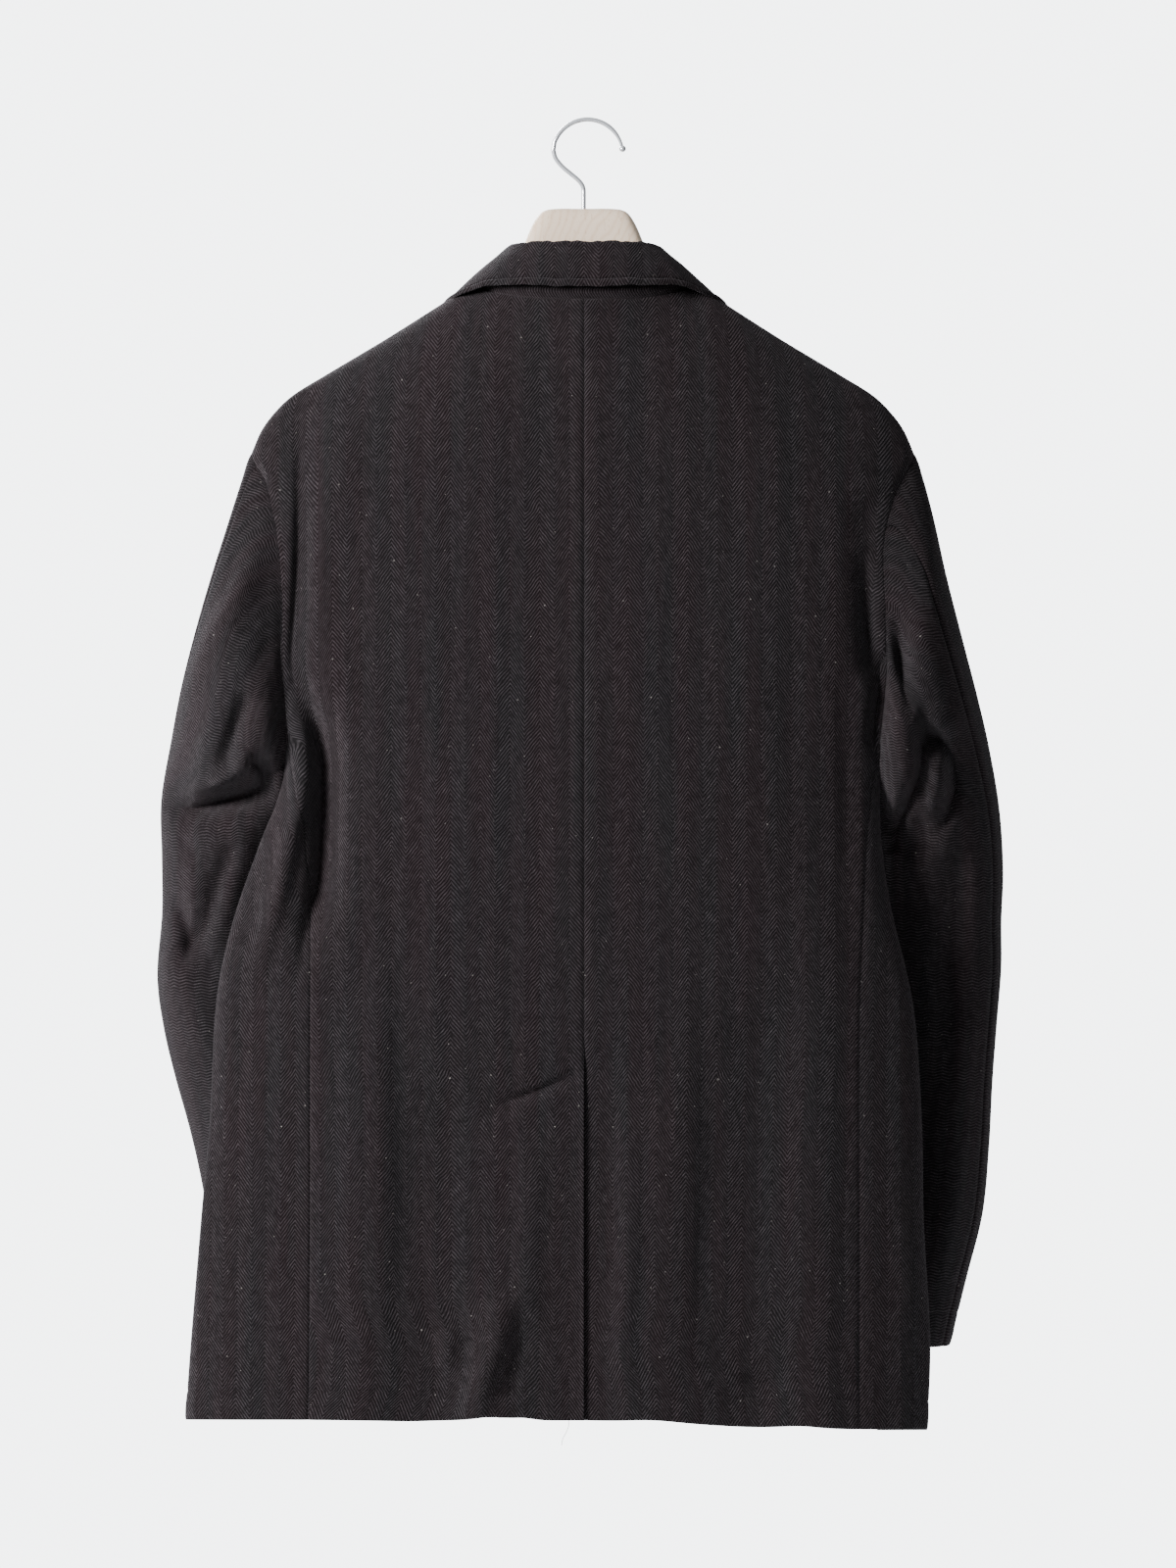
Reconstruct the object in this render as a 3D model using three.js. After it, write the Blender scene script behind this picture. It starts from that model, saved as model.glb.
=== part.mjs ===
// A double-breasted jacket that hangs on a wooden hanger from its wire hook.
// Millimetres, +Z up. The front faces -Y and the wearer's left is +X.
// The origin is the inside top of the hook, where a rail or thread carries the whole thing.
import * as THREE from 'three';

// The cloth and how pieces lie on each other.
const WALL = 1.6; // thickness of the cloth
const SEAM_GAP = 0.3; // clearance between two pieces at a seam
const SIDE_SEAM_GAP = 0.55; // and at the curved side seams, where rows of the two grids differ
const LAYER = 2.7; // from the middle of one cloth to the middle of the cloth lying on it
const LEFT = 1;
const RIGHT = -1;

// The trunk. The section at each height is a flat oval: x = wide * sin(a)^(2/SQUARENESS), y = deep * cos(a).
const SQUARENESS = 2.6;
const ROOF = 100; // height over which the trunk rounds over into the shoulder seam
const NECK_REACH = 74; // from the centre to the neck end of the shoulder seam
const NECK_LOW = -124.4; // neck seam at the centre back
const NECK_RISE = 7.4; // how far it rises to the shoulder seam
const ARMHOLE_TOP = -232;
const ARMHOLE_FOOT = -432; // where the side body's top edge begins
const ARMHOLE_SCOOP = 15; // how far that edge dips between its ends
const HEM = -901;
const HEM_DROP = 8.4; // the right hem corner hangs lower than the left
const FRONT_HEM = 2.5; // the fronts hang lower than the backs

// Outline of each half, by height. wide: the section's half width. edge: the back's outer edge,
// which is the armhole down to ARMHOLE_FOOT and the side-back seam below. front: the same for the front.
const HALF = {
  [LEFT]: [
    { z: -902, wide: 276.6, edge: 191, front: 221 },
    { z: -851, wide: 273, edge: 190.5, front: 220 },
    { z: -766, wide: 266, edge: 190, front: 218 },
    { z: -692, wide: 259.5, edge: 190, front: 216 },
    { z: -611, wide: 255, edge: 190, front: 213 },
    { z: -558, wide: 244, edge: 190, front: 209 },
    { z: -500, wide: 224, edge: 195, front: 206 },
    { z: -470, wide: 212, edge: 199, front: 203 },
    { z: -447, wide: 208, edge: 203, front: 203.5 },
    { z: -432, wide: 211, edge: 205, front: 205 },
    { z: -403, wide: 222, edge: 208, front: 208 },
    { z: -379, wide: 231, edge: 210.5, front: 210.5 },
    { z: -336, wide: 240, edge: 210, front: 210 },
    { z: -294, wide: 245, edge: 212.5, front: 212.5 },
    { z: -265, wide: 248, edge: 218, front: 218 },
    { z: -248, wide: 250, edge: 222.5, front: 222.5 },
    { z: -232, wide: 252, edge: 231, front: 231 },
    { z: -80, wide: 252, edge: 231, front: 231 },
  ],
  [RIGHT]: [
    { z: -910, wide: 238, edge: 190.5, front: 205 },
    { z: -850, wide: 240, edge: 190.5, front: 205 },
    { z: -766, wide: 235.5, edge: 190.5, front: 204 },
    { z: -692, wide: 234, edge: 190.5, front: 203 },
    { z: -614, wide: 228, edge: 191, front: 201 },
    { z: -543, wide: 212, edge: 194, front: 197 },
    { z: -500, wide: 206, edge: 196, front: 198 },
    { z: -470, wide: 205, edge: 198.5, front: 199 },
    { z: -447, wide: 207, edge: 202, front: 202.5 },
    { z: -432, wide: 211, edge: 205, front: 205 },
    { z: -403, wide: 221, edge: 208.5, front: 208.5 },
    { z: -374, wide: 230, edge: 210.5, front: 210.5 },
    { z: -336, wide: 238, edge: 209.5, front: 209.5 },
    { z: -294, wide: 244, edge: 208.5, front: 208.5 },
    { z: -265, wide: 247, edge: 214.5, front: 214.5 },
    { z: -248, wide: 249, edge: 221.5, front: 221.5 },
    { z: -232, wide: 252, edge: 229, front: 229 },
    { z: -80, wide: 252, edge: 229, front: 229 },
  ],
};

// Half depths of the trunk behind and in front of the hanger, by height.
const DEPTH = [
  { z: -910, back: 42, front: 47 },
  { z: -780, back: 40, front: 46 },
  { z: -650, back: 38, front: 45 },
  { z: -450, back: 41, front: 48 },
  { z: -250, back: 43, front: 48 },
  { z: -80, back: 42, front: 45 },
];

// The shoulder seam. out is a share of the way from the centre to the shoulder tip. Towards the
// centre it runs on past the neck, as if there were no neck opening, to shape the cloth below it.
const SHOULDER = [
  { out: 0, z: -86 },
  { out: 0.16, z: -102 },
  { out: 0.32, z: -117 },
  { out: 0.42, z: -128 },
  { out: 0.59, z: -151.5 },
  { out: 0.777, z: -177.5 },
  { out: 0.868, z: -190.5 },
  { out: 0.918, z: -201 },
  { out: 0.965, z: -215 },
  { out: 1, z: -232 },
];

// The centre-back vent.
const VENT_TOP = -660;
const VENT_SLOPE = 21; // how far the underlap's top edge falls across its width
const UNDERLAP = 58;
const VENT_LAYER = 3.6; // how far the underlap lies behind the left back

// Rows of the grid that backs and fronts are worked out on, counted from the hem.
const ROWS = 27;
const VENT_ROW = 7;
const WAIST_ROW = 11;
const EAVES_ROW = 18;
const WAIST = -560;

// The fronts. The roll line runs straight from the neck to the break, where the lapel starts to turn.
const OVERLAP = 60; // how far each front reaches past the centre
const BREAK = -430;
const LAP_INNER = 64; // the left front lies clear of the right one from here towards the centre
const LAP_OUTER = 92; // and comes down beside it out here

// Lapels. along is a share of the roll line from the break up to the gorge.
const GORGE = -163; // where collar and lapel meet on the roll line
const LAPEL = [
  { along: 0, wide: 2 },
  { along: 0.1, wide: 21 },
  { along: 0.3, wide: 50 },
  { along: 0.6, wide: 80 },
  { along: 0.85, wide: 97 },
  { along: 1, wide: 101 },
];
const PEAK_RISE = 25;
const LAPEL_AT_ROLL = 2.4; // the lapel lies this far outside its front at the roll line
const LAPEL_AT_EDGE = 3.7; // and this far at its edge

// The collar from the centre back, at 0, to its front end on the roll line, at 1. seam: the neck seam.
// fold: the crest that the collar turns over. edge: the fall's outer edge. Each is X, Y and Z.
const COLLAR = [
  { at: 0, seam: [0, 34.5, -123], fold: [0, 27, -85.2], edge: [0, 47, -116] },
  { at: 0.2, seam: [31, 32, -122], fold: [23, 25, -85], edge: [34, 44, -115] },
  { at: 0.4, seam: [57, 22, -119], fold: [41, 17, -86], edge: [66, 34, -114] },
  { at: 0.55, seam: [69, 9, -116], fold: [50, 5, -88.5], edge: [88, 18, -118] },
  { at: 0.68, seam: [71.5, -5, -114.5], fold: [54, -9, -95], edge: [98, -3, -124] },
  { at: 0.84, seam: [65, -27, -123], fold: [56, -29, -114], edge: [106, -28, -137] },
  { at: 1, seam: [56, -37, -147], fold: [55, -44, -146], edge: [104, -45, -171] },
];
const FOLD_RADIUS = 2.4;
const STAND_GAP = 1.5; // between the middles of the two cloths where they meet under the fold

// Sleeves, ring by ring from the armhole to the cuff. outX, outZ: the outer silhouette. inX, inZ: the
// underarm side. midY, deep: the ring's middle and half depth. seam: the back seam's angle in degrees.
const SLEEVE = {
  [LEFT]: [
    { ring: 0, outX: 231, outZ: -232, inX: 206, inZ: -447, midY: -1, deep: 23.5, seam: 24 },
    { ring: 0.06, outX: 238, outZ: -252, inX: 211.5, inZ: -449, midY: -2, deep: 28, seam: 21 },
    { ring: 0.12, outX: 247, outZ: -280, inX: 214.5, inZ: -453, midY: -5, deep: 35, seam: 18 },
    { ring: 0.18, outX: 258, outZ: -314, inX: 217, inZ: -459, midY: -9, deep: 42, seam: 15 },
    { ring: 0.24, outX: 269, outZ: -351, inX: 214.5, inZ: -468, midY: -17, deep: 47, seam: 12 },
    { ring: 0.3, outX: 279, outZ: -391, inX: 211.5, inZ: -480, midY: -29, deep: 50, seam: 10 },
    { ring: 0.36, outX: 286, outZ: -430, inX: 209, inZ: -496, midY: -46, deep: 51, seam: 8 },
    { ring: 0.42, outX: 293, outZ: -472, inX: 208, inZ: -518, midY: -62, deep: 50, seam: 8 },
    { ring: 0.48, outX: 292.5, outZ: -510, inX: 207, inZ: -543, midY: -73, deep: 49, seam: 8 },
    { ring: 0.54, outX: 292, outZ: -550, inX: 207, inZ: -572, midY: -80, deep: 49, seam: 8 },
    { ring: 0.6, outX: 296, outZ: -595, inX: 207, inZ: -608, midY: -84, deep: 48, seam: 8 },
    { ring: 0.66, outX: 291, outZ: -632, inX: 205, inZ: -643, midY: -86, deep: 47, seam: 8 },
    { ring: 0.72, outX: 283, outZ: -666, inX: 199, inZ: -678, midY: -87, deep: 46, seam: 8 },
    { ring: 0.79, outX: 272, outZ: -706, inX: 191, inZ: -718, midY: -88, deep: 45, seam: 8 },
    { ring: 0.86, outX: 263, outZ: -748, inX: 184, inZ: -758, midY: -88, deep: 44, seam: 8 },
    { ring: 0.93, outX: 257, outZ: -798, inX: 178, inZ: -804, midY: -88, deep: 43, seam: 8 },
    { ring: 1, outX: 254, outZ: -850, inX: 173, inZ: -853, midY: -88, deep: 42, seam: 8 },
  ],
  [RIGHT]: [
    { ring: 0, outX: 229, outZ: -232, inX: 206, inZ: -447, midY: -1, deep: 23.5, seam: 58 },
    { ring: 0.06, outX: 237, outZ: -254, inX: 213.5, inZ: -449, midY: -2, deep: 28, seam: 55 },
    { ring: 0.12, outX: 244, outZ: -283, inX: 217, inZ: -453, midY: -5, deep: 35, seam: 51 },
    { ring: 0.18, outX: 252, outZ: -318, inX: 216.5, inZ: -459, midY: -9, deep: 42, seam: 47 },
    { ring: 0.24, outX: 263, outZ: -360, inX: 211, inZ: -468, midY: -17, deep: 47, seam: 44 },
    { ring: 0.3, outX: 273, outZ: -401, inX: 207, inZ: -480, midY: -29, deep: 50, seam: 41 },
    { ring: 0.36, outX: 281, outZ: -436, inX: 203, inZ: -496, midY: -46, deep: 51, seam: 38 },
    { ring: 0.42, outX: 288, outZ: -478, inX: 200, inZ: -518, midY: -62, deep: 50, seam: 34 },
    { ring: 0.48, outX: 290, outZ: -520, inX: 199, inZ: -543, midY: -73, deep: 49, seam: 32 },
    { ring: 0.54, outX: 288.5, outZ: -556, inX: 199, inZ: -572, midY: -79, deep: 49, seam: 31 },
    { ring: 0.6, outX: 288, outZ: -590, inX: 199, inZ: -605, midY: -83, deep: 48, seam: 30 },
    { ring: 0.66, outX: 285, outZ: -628, inX: 201, inZ: -641, midY: -84, deep: 47, seam: 30 },
    { ring: 0.72, outX: 281.5, outZ: -668, inX: 198, inZ: -680, midY: -85, deep: 46, seam: 30 },
    { ring: 0.79, outX: 279.5, outZ: -716, inX: 193, inZ: -724, midY: -86, deep: 45, seam: 30 },
    { ring: 0.86, outX: 276, outZ: -762, inX: 186, inZ: -768, midY: -86, deep: 44, seam: 30 },
    { ring: 0.93, outX: 266, outZ: -806, inX: 179, inZ: -811, midY: -86, deep: 43, seam: 30 },
    { ring: 1, outX: 254, outZ: -854, inX: 172, inZ: -856, midY: -86, deep: 42, seam: 30 },
  ],
};
const SLEEVE_START = 1.5; // the sleeve's cloth starts this far outside the armhole edge
const SLEEVE_ROWS = 24;
const FRONT_SEAM_ANGLE = 232; // where the sleeve's front seam runs, in degrees from its outer side

// Large folds, as lines across the hanging cloth. deep is positive for a ridge, negative for a trough.
// Those of the back and the sleeves' backs lie as the photo shows. The front has similar ones.
const BACK_FOLDS = [
  { x1: 199, z1: -190, x2: 205, z2: -420, wide: 13, deep: -5 },
  { x1: -195, z1: -275, x2: -199, z2: -375, wide: 12, deep: -5 },
  { x1: 170, z1: -390, x2: 164, z2: -560, wide: 20, deep: 3 },
  { x1: 183, z1: -425, x2: 180, z2: -535, wide: 13, deep: -7 },
  { x1: 204, z1: -425, x2: 213, z2: -550, wide: 13, deep: 5 },
  { x1: 150, z1: -640, x2: 158, z2: -905, wide: 26, deep: 5 },
  { x1: 96, z1: -700, x2: 106, z2: -905, wide: 24, deep: -5 },
  { x1: 55, z1: -826, x2: 74, z2: -905, wide: 20, deep: 6 },
  { x1: 8, z1: -664, x2: 62, z2: -684, wide: 9, deep: -2.5 },
  { x1: -60, z1: -700, x2: -52, z2: -910, wide: 24, deep: 4 },
  { x1: -118, z1: -640, x2: -112, z2: -910, wide: 26, deep: -5 },
  { x1: -160, z1: -560, x2: -164, z2: -910, wide: 24, deep: 4 },
];
const FRONT_FOLDS = [
  { x1: 196, z1: -240, x2: 200, z2: -400, wide: 13, deep: -4 },
  { x1: -192, z1: -250, x2: -198, z2: -400, wide: 13, deep: -4 },
  { x1: 150, z1: -470, x2: 140, z2: -905, wide: 28, deep: -5 },
  { x1: -146, z1: -500, x2: -138, z2: -910, wide: 28, deep: -5 },
  { x1: 180, z1: -560, x2: 184, z2: -905, wide: 22, deep: 4 },
];
const SLEEVE_FOLDS = {
  [LEFT]: [
    { x1: 290, z1: -474, x2: 226, z2: -462, wide: 13, deep: -13 },
    { x1: 286, z1: -440, x2: 226, z2: -425, wide: 16, deep: 6 },
    { x1: 233, z1: -404, x2: 247, z2: -450, wide: 9, deep: -6 },
    { x1: 238, z1: -322, x2: 276, z2: -392, wide: 14, deep: 5 },
    { x1: 292, z1: -543, x2: 262, z2: -585, wide: 14, deep: -7 },
    { x1: 288, z1: -600, x2: 262, z2: -640, wide: 16, deep: 5 },
  ],
  [RIGHT]: [
    { x1: -210, z1: -352, x2: -238, z2: -428, wide: 11, deep: -8 },
    { x1: -240, z1: -430, x2: -232, z2: -500, wide: 12, deep: -8 },
    { x1: -222, z1: -400, x2: -226, z2: -470, wide: 11, deep: 5 },
    { x1: -250, z1: -425, x2: -256, z2: -500, wide: 13, deep: 6 },
    { x1: -262, z1: -430, x2: -262, z2: -580, wide: 14, deep: -6 },
    { x1: -262, z1: -640, x2: -266, z2: -800, wide: 14, deep: 4 },
  ],
};

// Buttons, in rows from the top.
const BUTTON_ROWS = [-466, -576];
const BUTTON_APART = 88;
const BUTTON_RADIUS = 11.5;
const BUTTON_THICK = 3.6;
const BUTTON_SIDES = 14;
const BUTTON_GAP = 0.6; // the thread shank keeps the button off the cloth

// The hanger. out is along X to either side.
const WOOD = [
  { out: 0, top: -60.6, bottom: -118, thick: 11.5 },
  { out: 22, top: -60.8, bottom: -121, thick: 11.5 },
  { out: 30, top: -63.4, bottom: -123, thick: 11.4 },
  { out: 36, top: -72, bottom: -126, thick: 11.2 },
  { out: 42, top: -86, bottom: -129, thick: 11 },
  { out: 52, top: -106, bottom: -134, thick: 10.8 },
  { out: 64, top: -120, bottom: -141, thick: 10.4 },
  { out: 82, top: -122, bottom: -152, thick: 10 },
  { out: 100, top: -128, bottom: -163, thick: 10 },
  { out: 130, top: -144, bottom: -181, thick: 10.4 },
  { out: 158, top: -160, bottom: -198, thick: 11 },
  { out: 182, top: -174, bottom: -212, thick: 11.4 },
  { out: 194, top: -187, bottom: -215, thick: 10.4 },
  { out: 200, top: -193, bottom: -211, thick: 7 },
];
const WOOD_SIDES = 14;
const REST_GAP = 0.8; // between the hanger's arms and the cloth that rests on them
const WIRE = 1.6; // radius of the hook's wire
const HOOK_CENTRE = { x: -2.4, z: -23.1 };
const HOOK_RADIUS = 24.6;
const HOOK_BALL = 2.3;
const HOOK_START = -6; // the circle's two ends, in degrees from its side towards +X
const HOOK_END = 166;
const STEM = [
  { x: 0.3, z: -60.2 },
  { x: 0.3, z: -50 },
  { x: 0.9, z: -44.8 },
  { x: 5, z: -39.6 },
  { x: 13.6, z: -32.6 },
  { x: 19, z: -29 },
];

const CLOTH_COLOUR = 0x2b2422;
const clothFinish = { roughness: 0.95, metalness: 0 };

// Smooth value of a named column where another column has the value `place`.
function read(table, column, place, name) {
  const last = table.length - 1;
  const rising = table[last][column] > table[0][column];
  let i = 0;
  while (i < last - 1 && (rising ? place > table[i + 1][column] : place < table[i + 1][column])) i += 1;
  const a = table[i];
  const b = table[i + 1];
  const span = b[column] - a[column];
  const t = THREE.MathUtils.clamp((place - a[column]) / span, 0, 1);
  const before = table[Math.max(0, i - 1)];
  const after = table[Math.min(last, i + 2)];
  const slopeA = (b[name] - before[name]) / (b[column] - before[column]) * span;
  const slopeB = (after[name] - a[name]) / (after[column] - a[column]) * span;
  const t2 = t * t;
  const t3 = t2 * t;
  return (2 * t3 - 3 * t2 + 1) * a[name] + (t3 - 2 * t2 + t) * slopeA
    + (3 * t2 - 2 * t3) * b[name] + (t3 - t2) * slopeB;
}

const mix = THREE.MathUtils.lerp;
const smooth = THREE.MathUtils.smoothstep;
const radians = THREE.MathUtils.degToRad;

// Height that the folds add at a place: a rounded ridge or trough along each line, fading at its ends.
function foldHeight(folds, x, z) {
  let height = 0;
  for (const fold of folds) {
    const alongX = fold.x2 - fold.x1;
    const alongZ = fold.z2 - fold.z1;
    const length = Math.hypot(alongX, alongZ);
    const share = ((x - fold.x1) * alongX + (z - fold.z1) * alongZ) / (length * length);
    const aside = ((x - fold.x1) * alongZ - (z - fold.z1) * alongX) / length;
    const past = Math.max(0, Math.abs(share - 0.5) - 0.5) * length;
    height += fold.deep * Math.exp(-((aside * aside) + (past * past)) / (fold.wide * fold.wide));
  }
  return height;
}

// How full the trunk is at a place: 1 in the middle, 0 at its sides and along the shoulder seam.
function fullness(x, z) {
  const half = HALF[x < 0 ? RIGHT : LEFT];
  const across = Math.min(1, Math.abs(x) / read(half, 'z', z, 'wide'));
  const upper = Math.max(z, ARMHOLE_FOOT);
  const out = Math.min(1, Math.abs(x) / read(half, 'z', upper, 'edge'));
  const below = Math.max(0, read(SHOULDER, 'out', out, 'z') - z);
  const rounding = below < ROOF ? Math.sqrt(1 - (1 - below / ROOF) ** 2) : 1;
  return Math.sqrt(1 - across ** SQUARENESS) * rounding;
}

// A point of the trunk's back cloth, `lift` outside the middle of the wall.
function onBack(x, z, lift) {
  const full = fullness(x, z);
  const calm = smooth(full, 0, 0.5);
  const y = SEAM_GAP / 2 + read(DEPTH, 'z', z, 'back') * full + foldHeight(BACK_FOLDS, x, z) * calm;
  return new THREE.Vector3(x, y + lift, z);
}

// A point of the trunk's front cloth.
function onFront(x, z, lift) {
  const full = fullness(x, z);
  const calm = smooth(full, 0, 0.5);
  const y = SEAM_GAP / 2 + read(DEPTH, 'z', z, 'front') * full + foldHeight(FRONT_FOLDS, x, z) * calm;
  return new THREE.Vector3(x, -y - lift, z);
}

// How far the left front lies outside the right one and its lapel.
const lapLift = (x) => (LAPEL_AT_EDGE + LAYER) * (1 - smooth(x, LAP_INNER, LAP_OUTER));

// Height of the back hem and the roll line's distance from the centre.
const hemAt = (x) => HEM - HEM_DROP * THREE.MathUtils.clamp(-x / 238, 0, 1);
const rollAt = (z) => mix(-OVERLAP, NECK_REACH, (z - BREAK) / (read(SHOULDER, 'out', 0.32, 'z') - BREAK));

// A closed wall round a surface that is given by a function of two shares, each from 0 to 1.
function sheet(name, columns, rows, middle) {
  const step = 1e-3;
  const positions = [];
  const outer = [];
  const inner = [];
  for (let r = 0; r <= rows; r += 1) {
    for (let c = 0; c <= columns; c += 1) {
      const u = c / columns;
      const v = r / rows;
      const point = middle(u, v);
      const acrossU = middle(Math.min(1, u + step), v).sub(middle(Math.max(0, u - step), v));
      const acrossV = middle(u, Math.min(1, v + step)).sub(middle(u, Math.max(0, v - step)));
      const normal = acrossU.cross(acrossV).normalize().multiplyScalar(WALL / 2);
      outer.push(point.clone().add(normal));
      inner.push(point.clone().sub(normal));
    }
  }
  for (const p of [...outer, ...inner]) positions.push(p.x, p.y, p.z);
  const count = outer.length;
  const at = (r, c) => r * (columns + 1) + c;
  const index = [];
  const quad = (a, b, c, d) => index.push(a, b, c, a, c, d);
  for (let r = 0; r < rows; r += 1) {
    for (let c = 0; c < columns; c += 1) {
      quad(at(r, c), at(r, c + 1), at(r + 1, c + 1), at(r + 1, c));
      quad(count + at(r, c), count + at(r + 1, c), count + at(r + 1, c + 1), count + at(r, c + 1));
    }
  }
  for (let c = 0; c < columns; c += 1) {
    quad(at(0, c), count + at(0, c), count + at(0, c + 1), at(0, c + 1));
    quad(at(rows, c), at(rows, c + 1), count + at(rows, c + 1), count + at(rows, c));
  }
  for (let r = 0; r < rows; r += 1) {
    quad(at(r, 0), at(r + 1, 0), count + at(r + 1, 0), count + at(r, 0));
    quad(at(r, columns), count + at(r, columns), count + at(r + 1, columns), at(r + 1, columns));
  }
  return solid(name, positions, index, CLOTH_COLOUR, clothFinish);
}

// A named mesh, faces turned outwards.
function solid(name, positions, index, colour, finish) {
  let volume = 0;
  const corner = (i) => new THREE.Vector3().fromArray(positions, index[i] * 3);
  for (let i = 0; i < index.length; i += 3) volume += corner(i).dot(corner(i + 1).cross(corner(i + 2)));
  const turned = volume < 0 ? [...index].reverse() : index;
  const geometry = new THREE.BufferGeometry();
  geometry.setAttribute('position', new THREE.Float32BufferAttribute(positions, 3));
  geometry.setIndex(turned);
  geometry.computeVertexNormals();
  const mesh = new THREE.Mesh(geometry, new THREE.MeshStandardMaterial({ color: colour, ...finish }));
  mesh.name = name;
  return mesh;
}

// Height of a row. Up to the waist the rows are level and keep to the vent's top. Above it they run up
// to the eaves, and the last third rounds over the shoulder in even turns, from upright to `topTurn`.
function rowHeight(v, hem, ridge, topTurn) {
  const row = v * ROWS;
  if (row < VENT_ROW) return mix(hem, VENT_TOP - VENT_SLOPE, row / VENT_ROW);
  if (row < VENT_ROW + 1) return mix(VENT_TOP - VENT_SLOPE, VENT_TOP, row - VENT_ROW);
  if (row < WAIST_ROW) return mix(VENT_TOP, WAIST, (row - VENT_ROW - 1) / (WAIST_ROW - VENT_ROW - 1));
  if (row < EAVES_ROW) return mix(WAIST, ridge - ROOF, (row - WAIST_ROW) / (EAVES_ROW - WAIST_ROW));
  const turn = mix(Math.PI / 2, topTurn, (row - EAVES_ROW) / (ROWS - EAVES_ROW));
  return ridge - ROOF * (1 - Math.cos(turn));
}

// A place on a panel whose columns run between two edges that change with height.
function panelPlace(u, v, side, innerEdge, outerEdge, hem, topEdge) {
  let z = mix(HEM, -160, v);
  let x = 0;
  for (let pass = 0; pass < 12; pass += 1) {
    x = mix(innerEdge(z), outerEdge(z), u);
    const out = Math.max(0, x) / outerEdge(Math.max(z, ARMHOLE_FOOT));
    const ridge = read(SHOULDER, 'out', Math.min(1, out), 'z');
    const top = Math.min(ridge, topEdge(x));
    const topTurn = Math.acos(1 - (ridge - top) / ROOF);
    z = rowHeight(v, hem(side * x), ridge, topTurn);
  }
  return { x: side * x, z };
}

const neckSeam = (x) => (x < NECK_REACH ? NECK_LOW + NECK_RISE * (x / NECK_REACH) ** 2 : 0);

// The left back. Its centre edge laps over the underlap below the vent's top.
function backLeft() {
  const half = HALF[LEFT];
  return sheet('back_left', 11, ROWS, (u, v) => {
    const outer = (z) => read(half, 'z', z, 'edge');
    const place = panelPlace(u, v, LEFT, () => SEAM_GAP / 2, outer, hemAt, neckSeam);
    return onBack(place.x, place.z, 0);
  });
}

// The right back and its underlap, which dips in behind the left back.
function backRight() {
  const half = HALF[RIGHT];
  const centre = (z) => {
    const share = THREE.MathUtils.clamp((VENT_TOP - z) / VENT_SLOPE, 0, 1);
    return mix(SEAM_GAP / 2, -UNDERLAP, share);
  };
  const dip = (x, z) => VENT_LAYER * smooth(x, -34, -13) * (1 - smooth(z, VENT_TOP, VENT_TOP + 24));
  return sheet('back_right', 13, ROWS, (u, v) => {
    const outer = (z) => read(half, 'z', z, 'edge');
    const place = panelPlace(u, v, RIGHT, centre, outer, hemAt, neckSeam);
    return onBack(place.x, place.z, -dip(place.x, place.z));
  });
}

// The angle round the trunk's section at which a seam lies, from 0 at the centre back.
function seamAngle(half, z, name) {
  const across = Math.min(1, read(half, 'z', z, name) / read(half, 'z', z, 'wide'));
  return Math.asin(across ** (SQUARENESS / 2));
}

// A point at an angle round one half of the trunk's section.
function roundHalf(side, angle, z) {
  const half = HALF[side];
  const wide = read(half, 'z', z, 'wide');
  const x = side * wide * Math.sin(angle) ** (2 / SQUARENESS);
  const cosine = Math.cos(angle);
  const calm = smooth(Math.abs(cosine), 0, 0.5);
  const back = cosine >= 0;
  const deep = read(DEPTH, 'z', z, back ? 'back' : 'front') * Math.abs(cosine);
  const folds = foldHeight(back ? BACK_FOLDS : FRONT_FOLDS, x, z) * calm;
  return new THREE.Vector3(x, (back ? 1 : -1) * (deep + folds), z);
}

// The angle that a seam's clearance takes up at a place on the section.
function seamStep(side, angle, z) {
  const nudge = 0.01;
  const apart = roundHalf(side, angle + nudge, z).distanceTo(roundHalf(side, angle - nudge, z));
  return SIDE_SEAM_GAP * 2 * nudge / apart;
}

// A side body, from the side-back seam round to the front side seam.
function sidePanel(name, side) {
  const half = HALF[side];
  return sheet(name, 9, 18, (u, v) => {
    const top = ARMHOLE_FOOT - ARMHOLE_SCOOP * Math.sin(Math.PI * u);
    const z = mix(hemAt(side * 238) - FRONT_HEM * u, top, v);
    const from = seamAngle(half, z, 'edge');
    const to = Math.PI - seamAngle(half, z, 'front');
    const start = from + seamStep(side, from, z);
    return roundHalf(side, mix(start, to - seamStep(side, to, z), u), z);
  });
}

// A front. The left one lies over the right one past the centre.
function frontPanel(name, side) {
  const half = HALF[side];
  const inner = (z) => (z < BREAK ? -OVERLAP : rollAt(z));
  const hem = (x) => hemAt(x) - FRONT_HEM;
  return sheet(name, 11, ROWS, (u, v) => {
    const outer = (z) => read(half, 'z', z, 'front');
    const place = panelPlace(u, v, side, inner, outer, hem, () => 0);
    const lift = side === LEFT ? lapLift(place.x) : 0;
    return onFront(place.x, place.z, lift);
  });
}

// A lapel lies on its front, from the roll line out to its edge, and rises to a peak.
function lapel(name, side) {
  return sheet(name, 6, 14, (u, v) => {
    const rollZ = mix(BREAK + 4, GORGE, v);
    const rollX = rollAt(rollZ);
    const steep = Math.atan2(NECK_REACH + OVERLAP, read(SHOULDER, 'out', 0.32, 'z') - BREAK);
    const out = read(LAPEL, 'along', v, 'wide') * u;
    const rise = PEAK_RISE * smooth(u, 0.45, 1) * smooth(v, 0.7, 1);
    const x = rollX + out * Math.cos(steep);
    const z = rollZ - out * Math.sin(steep) + rise;
    const under = side === LEFT ? lapLift(x) : 0;
    return onFront(side * x, z, under + mix(LAPEL_AT_ROLL, LAPEL_AT_EDGE, smooth(u, 0, 0.3)));
  });
}

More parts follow.
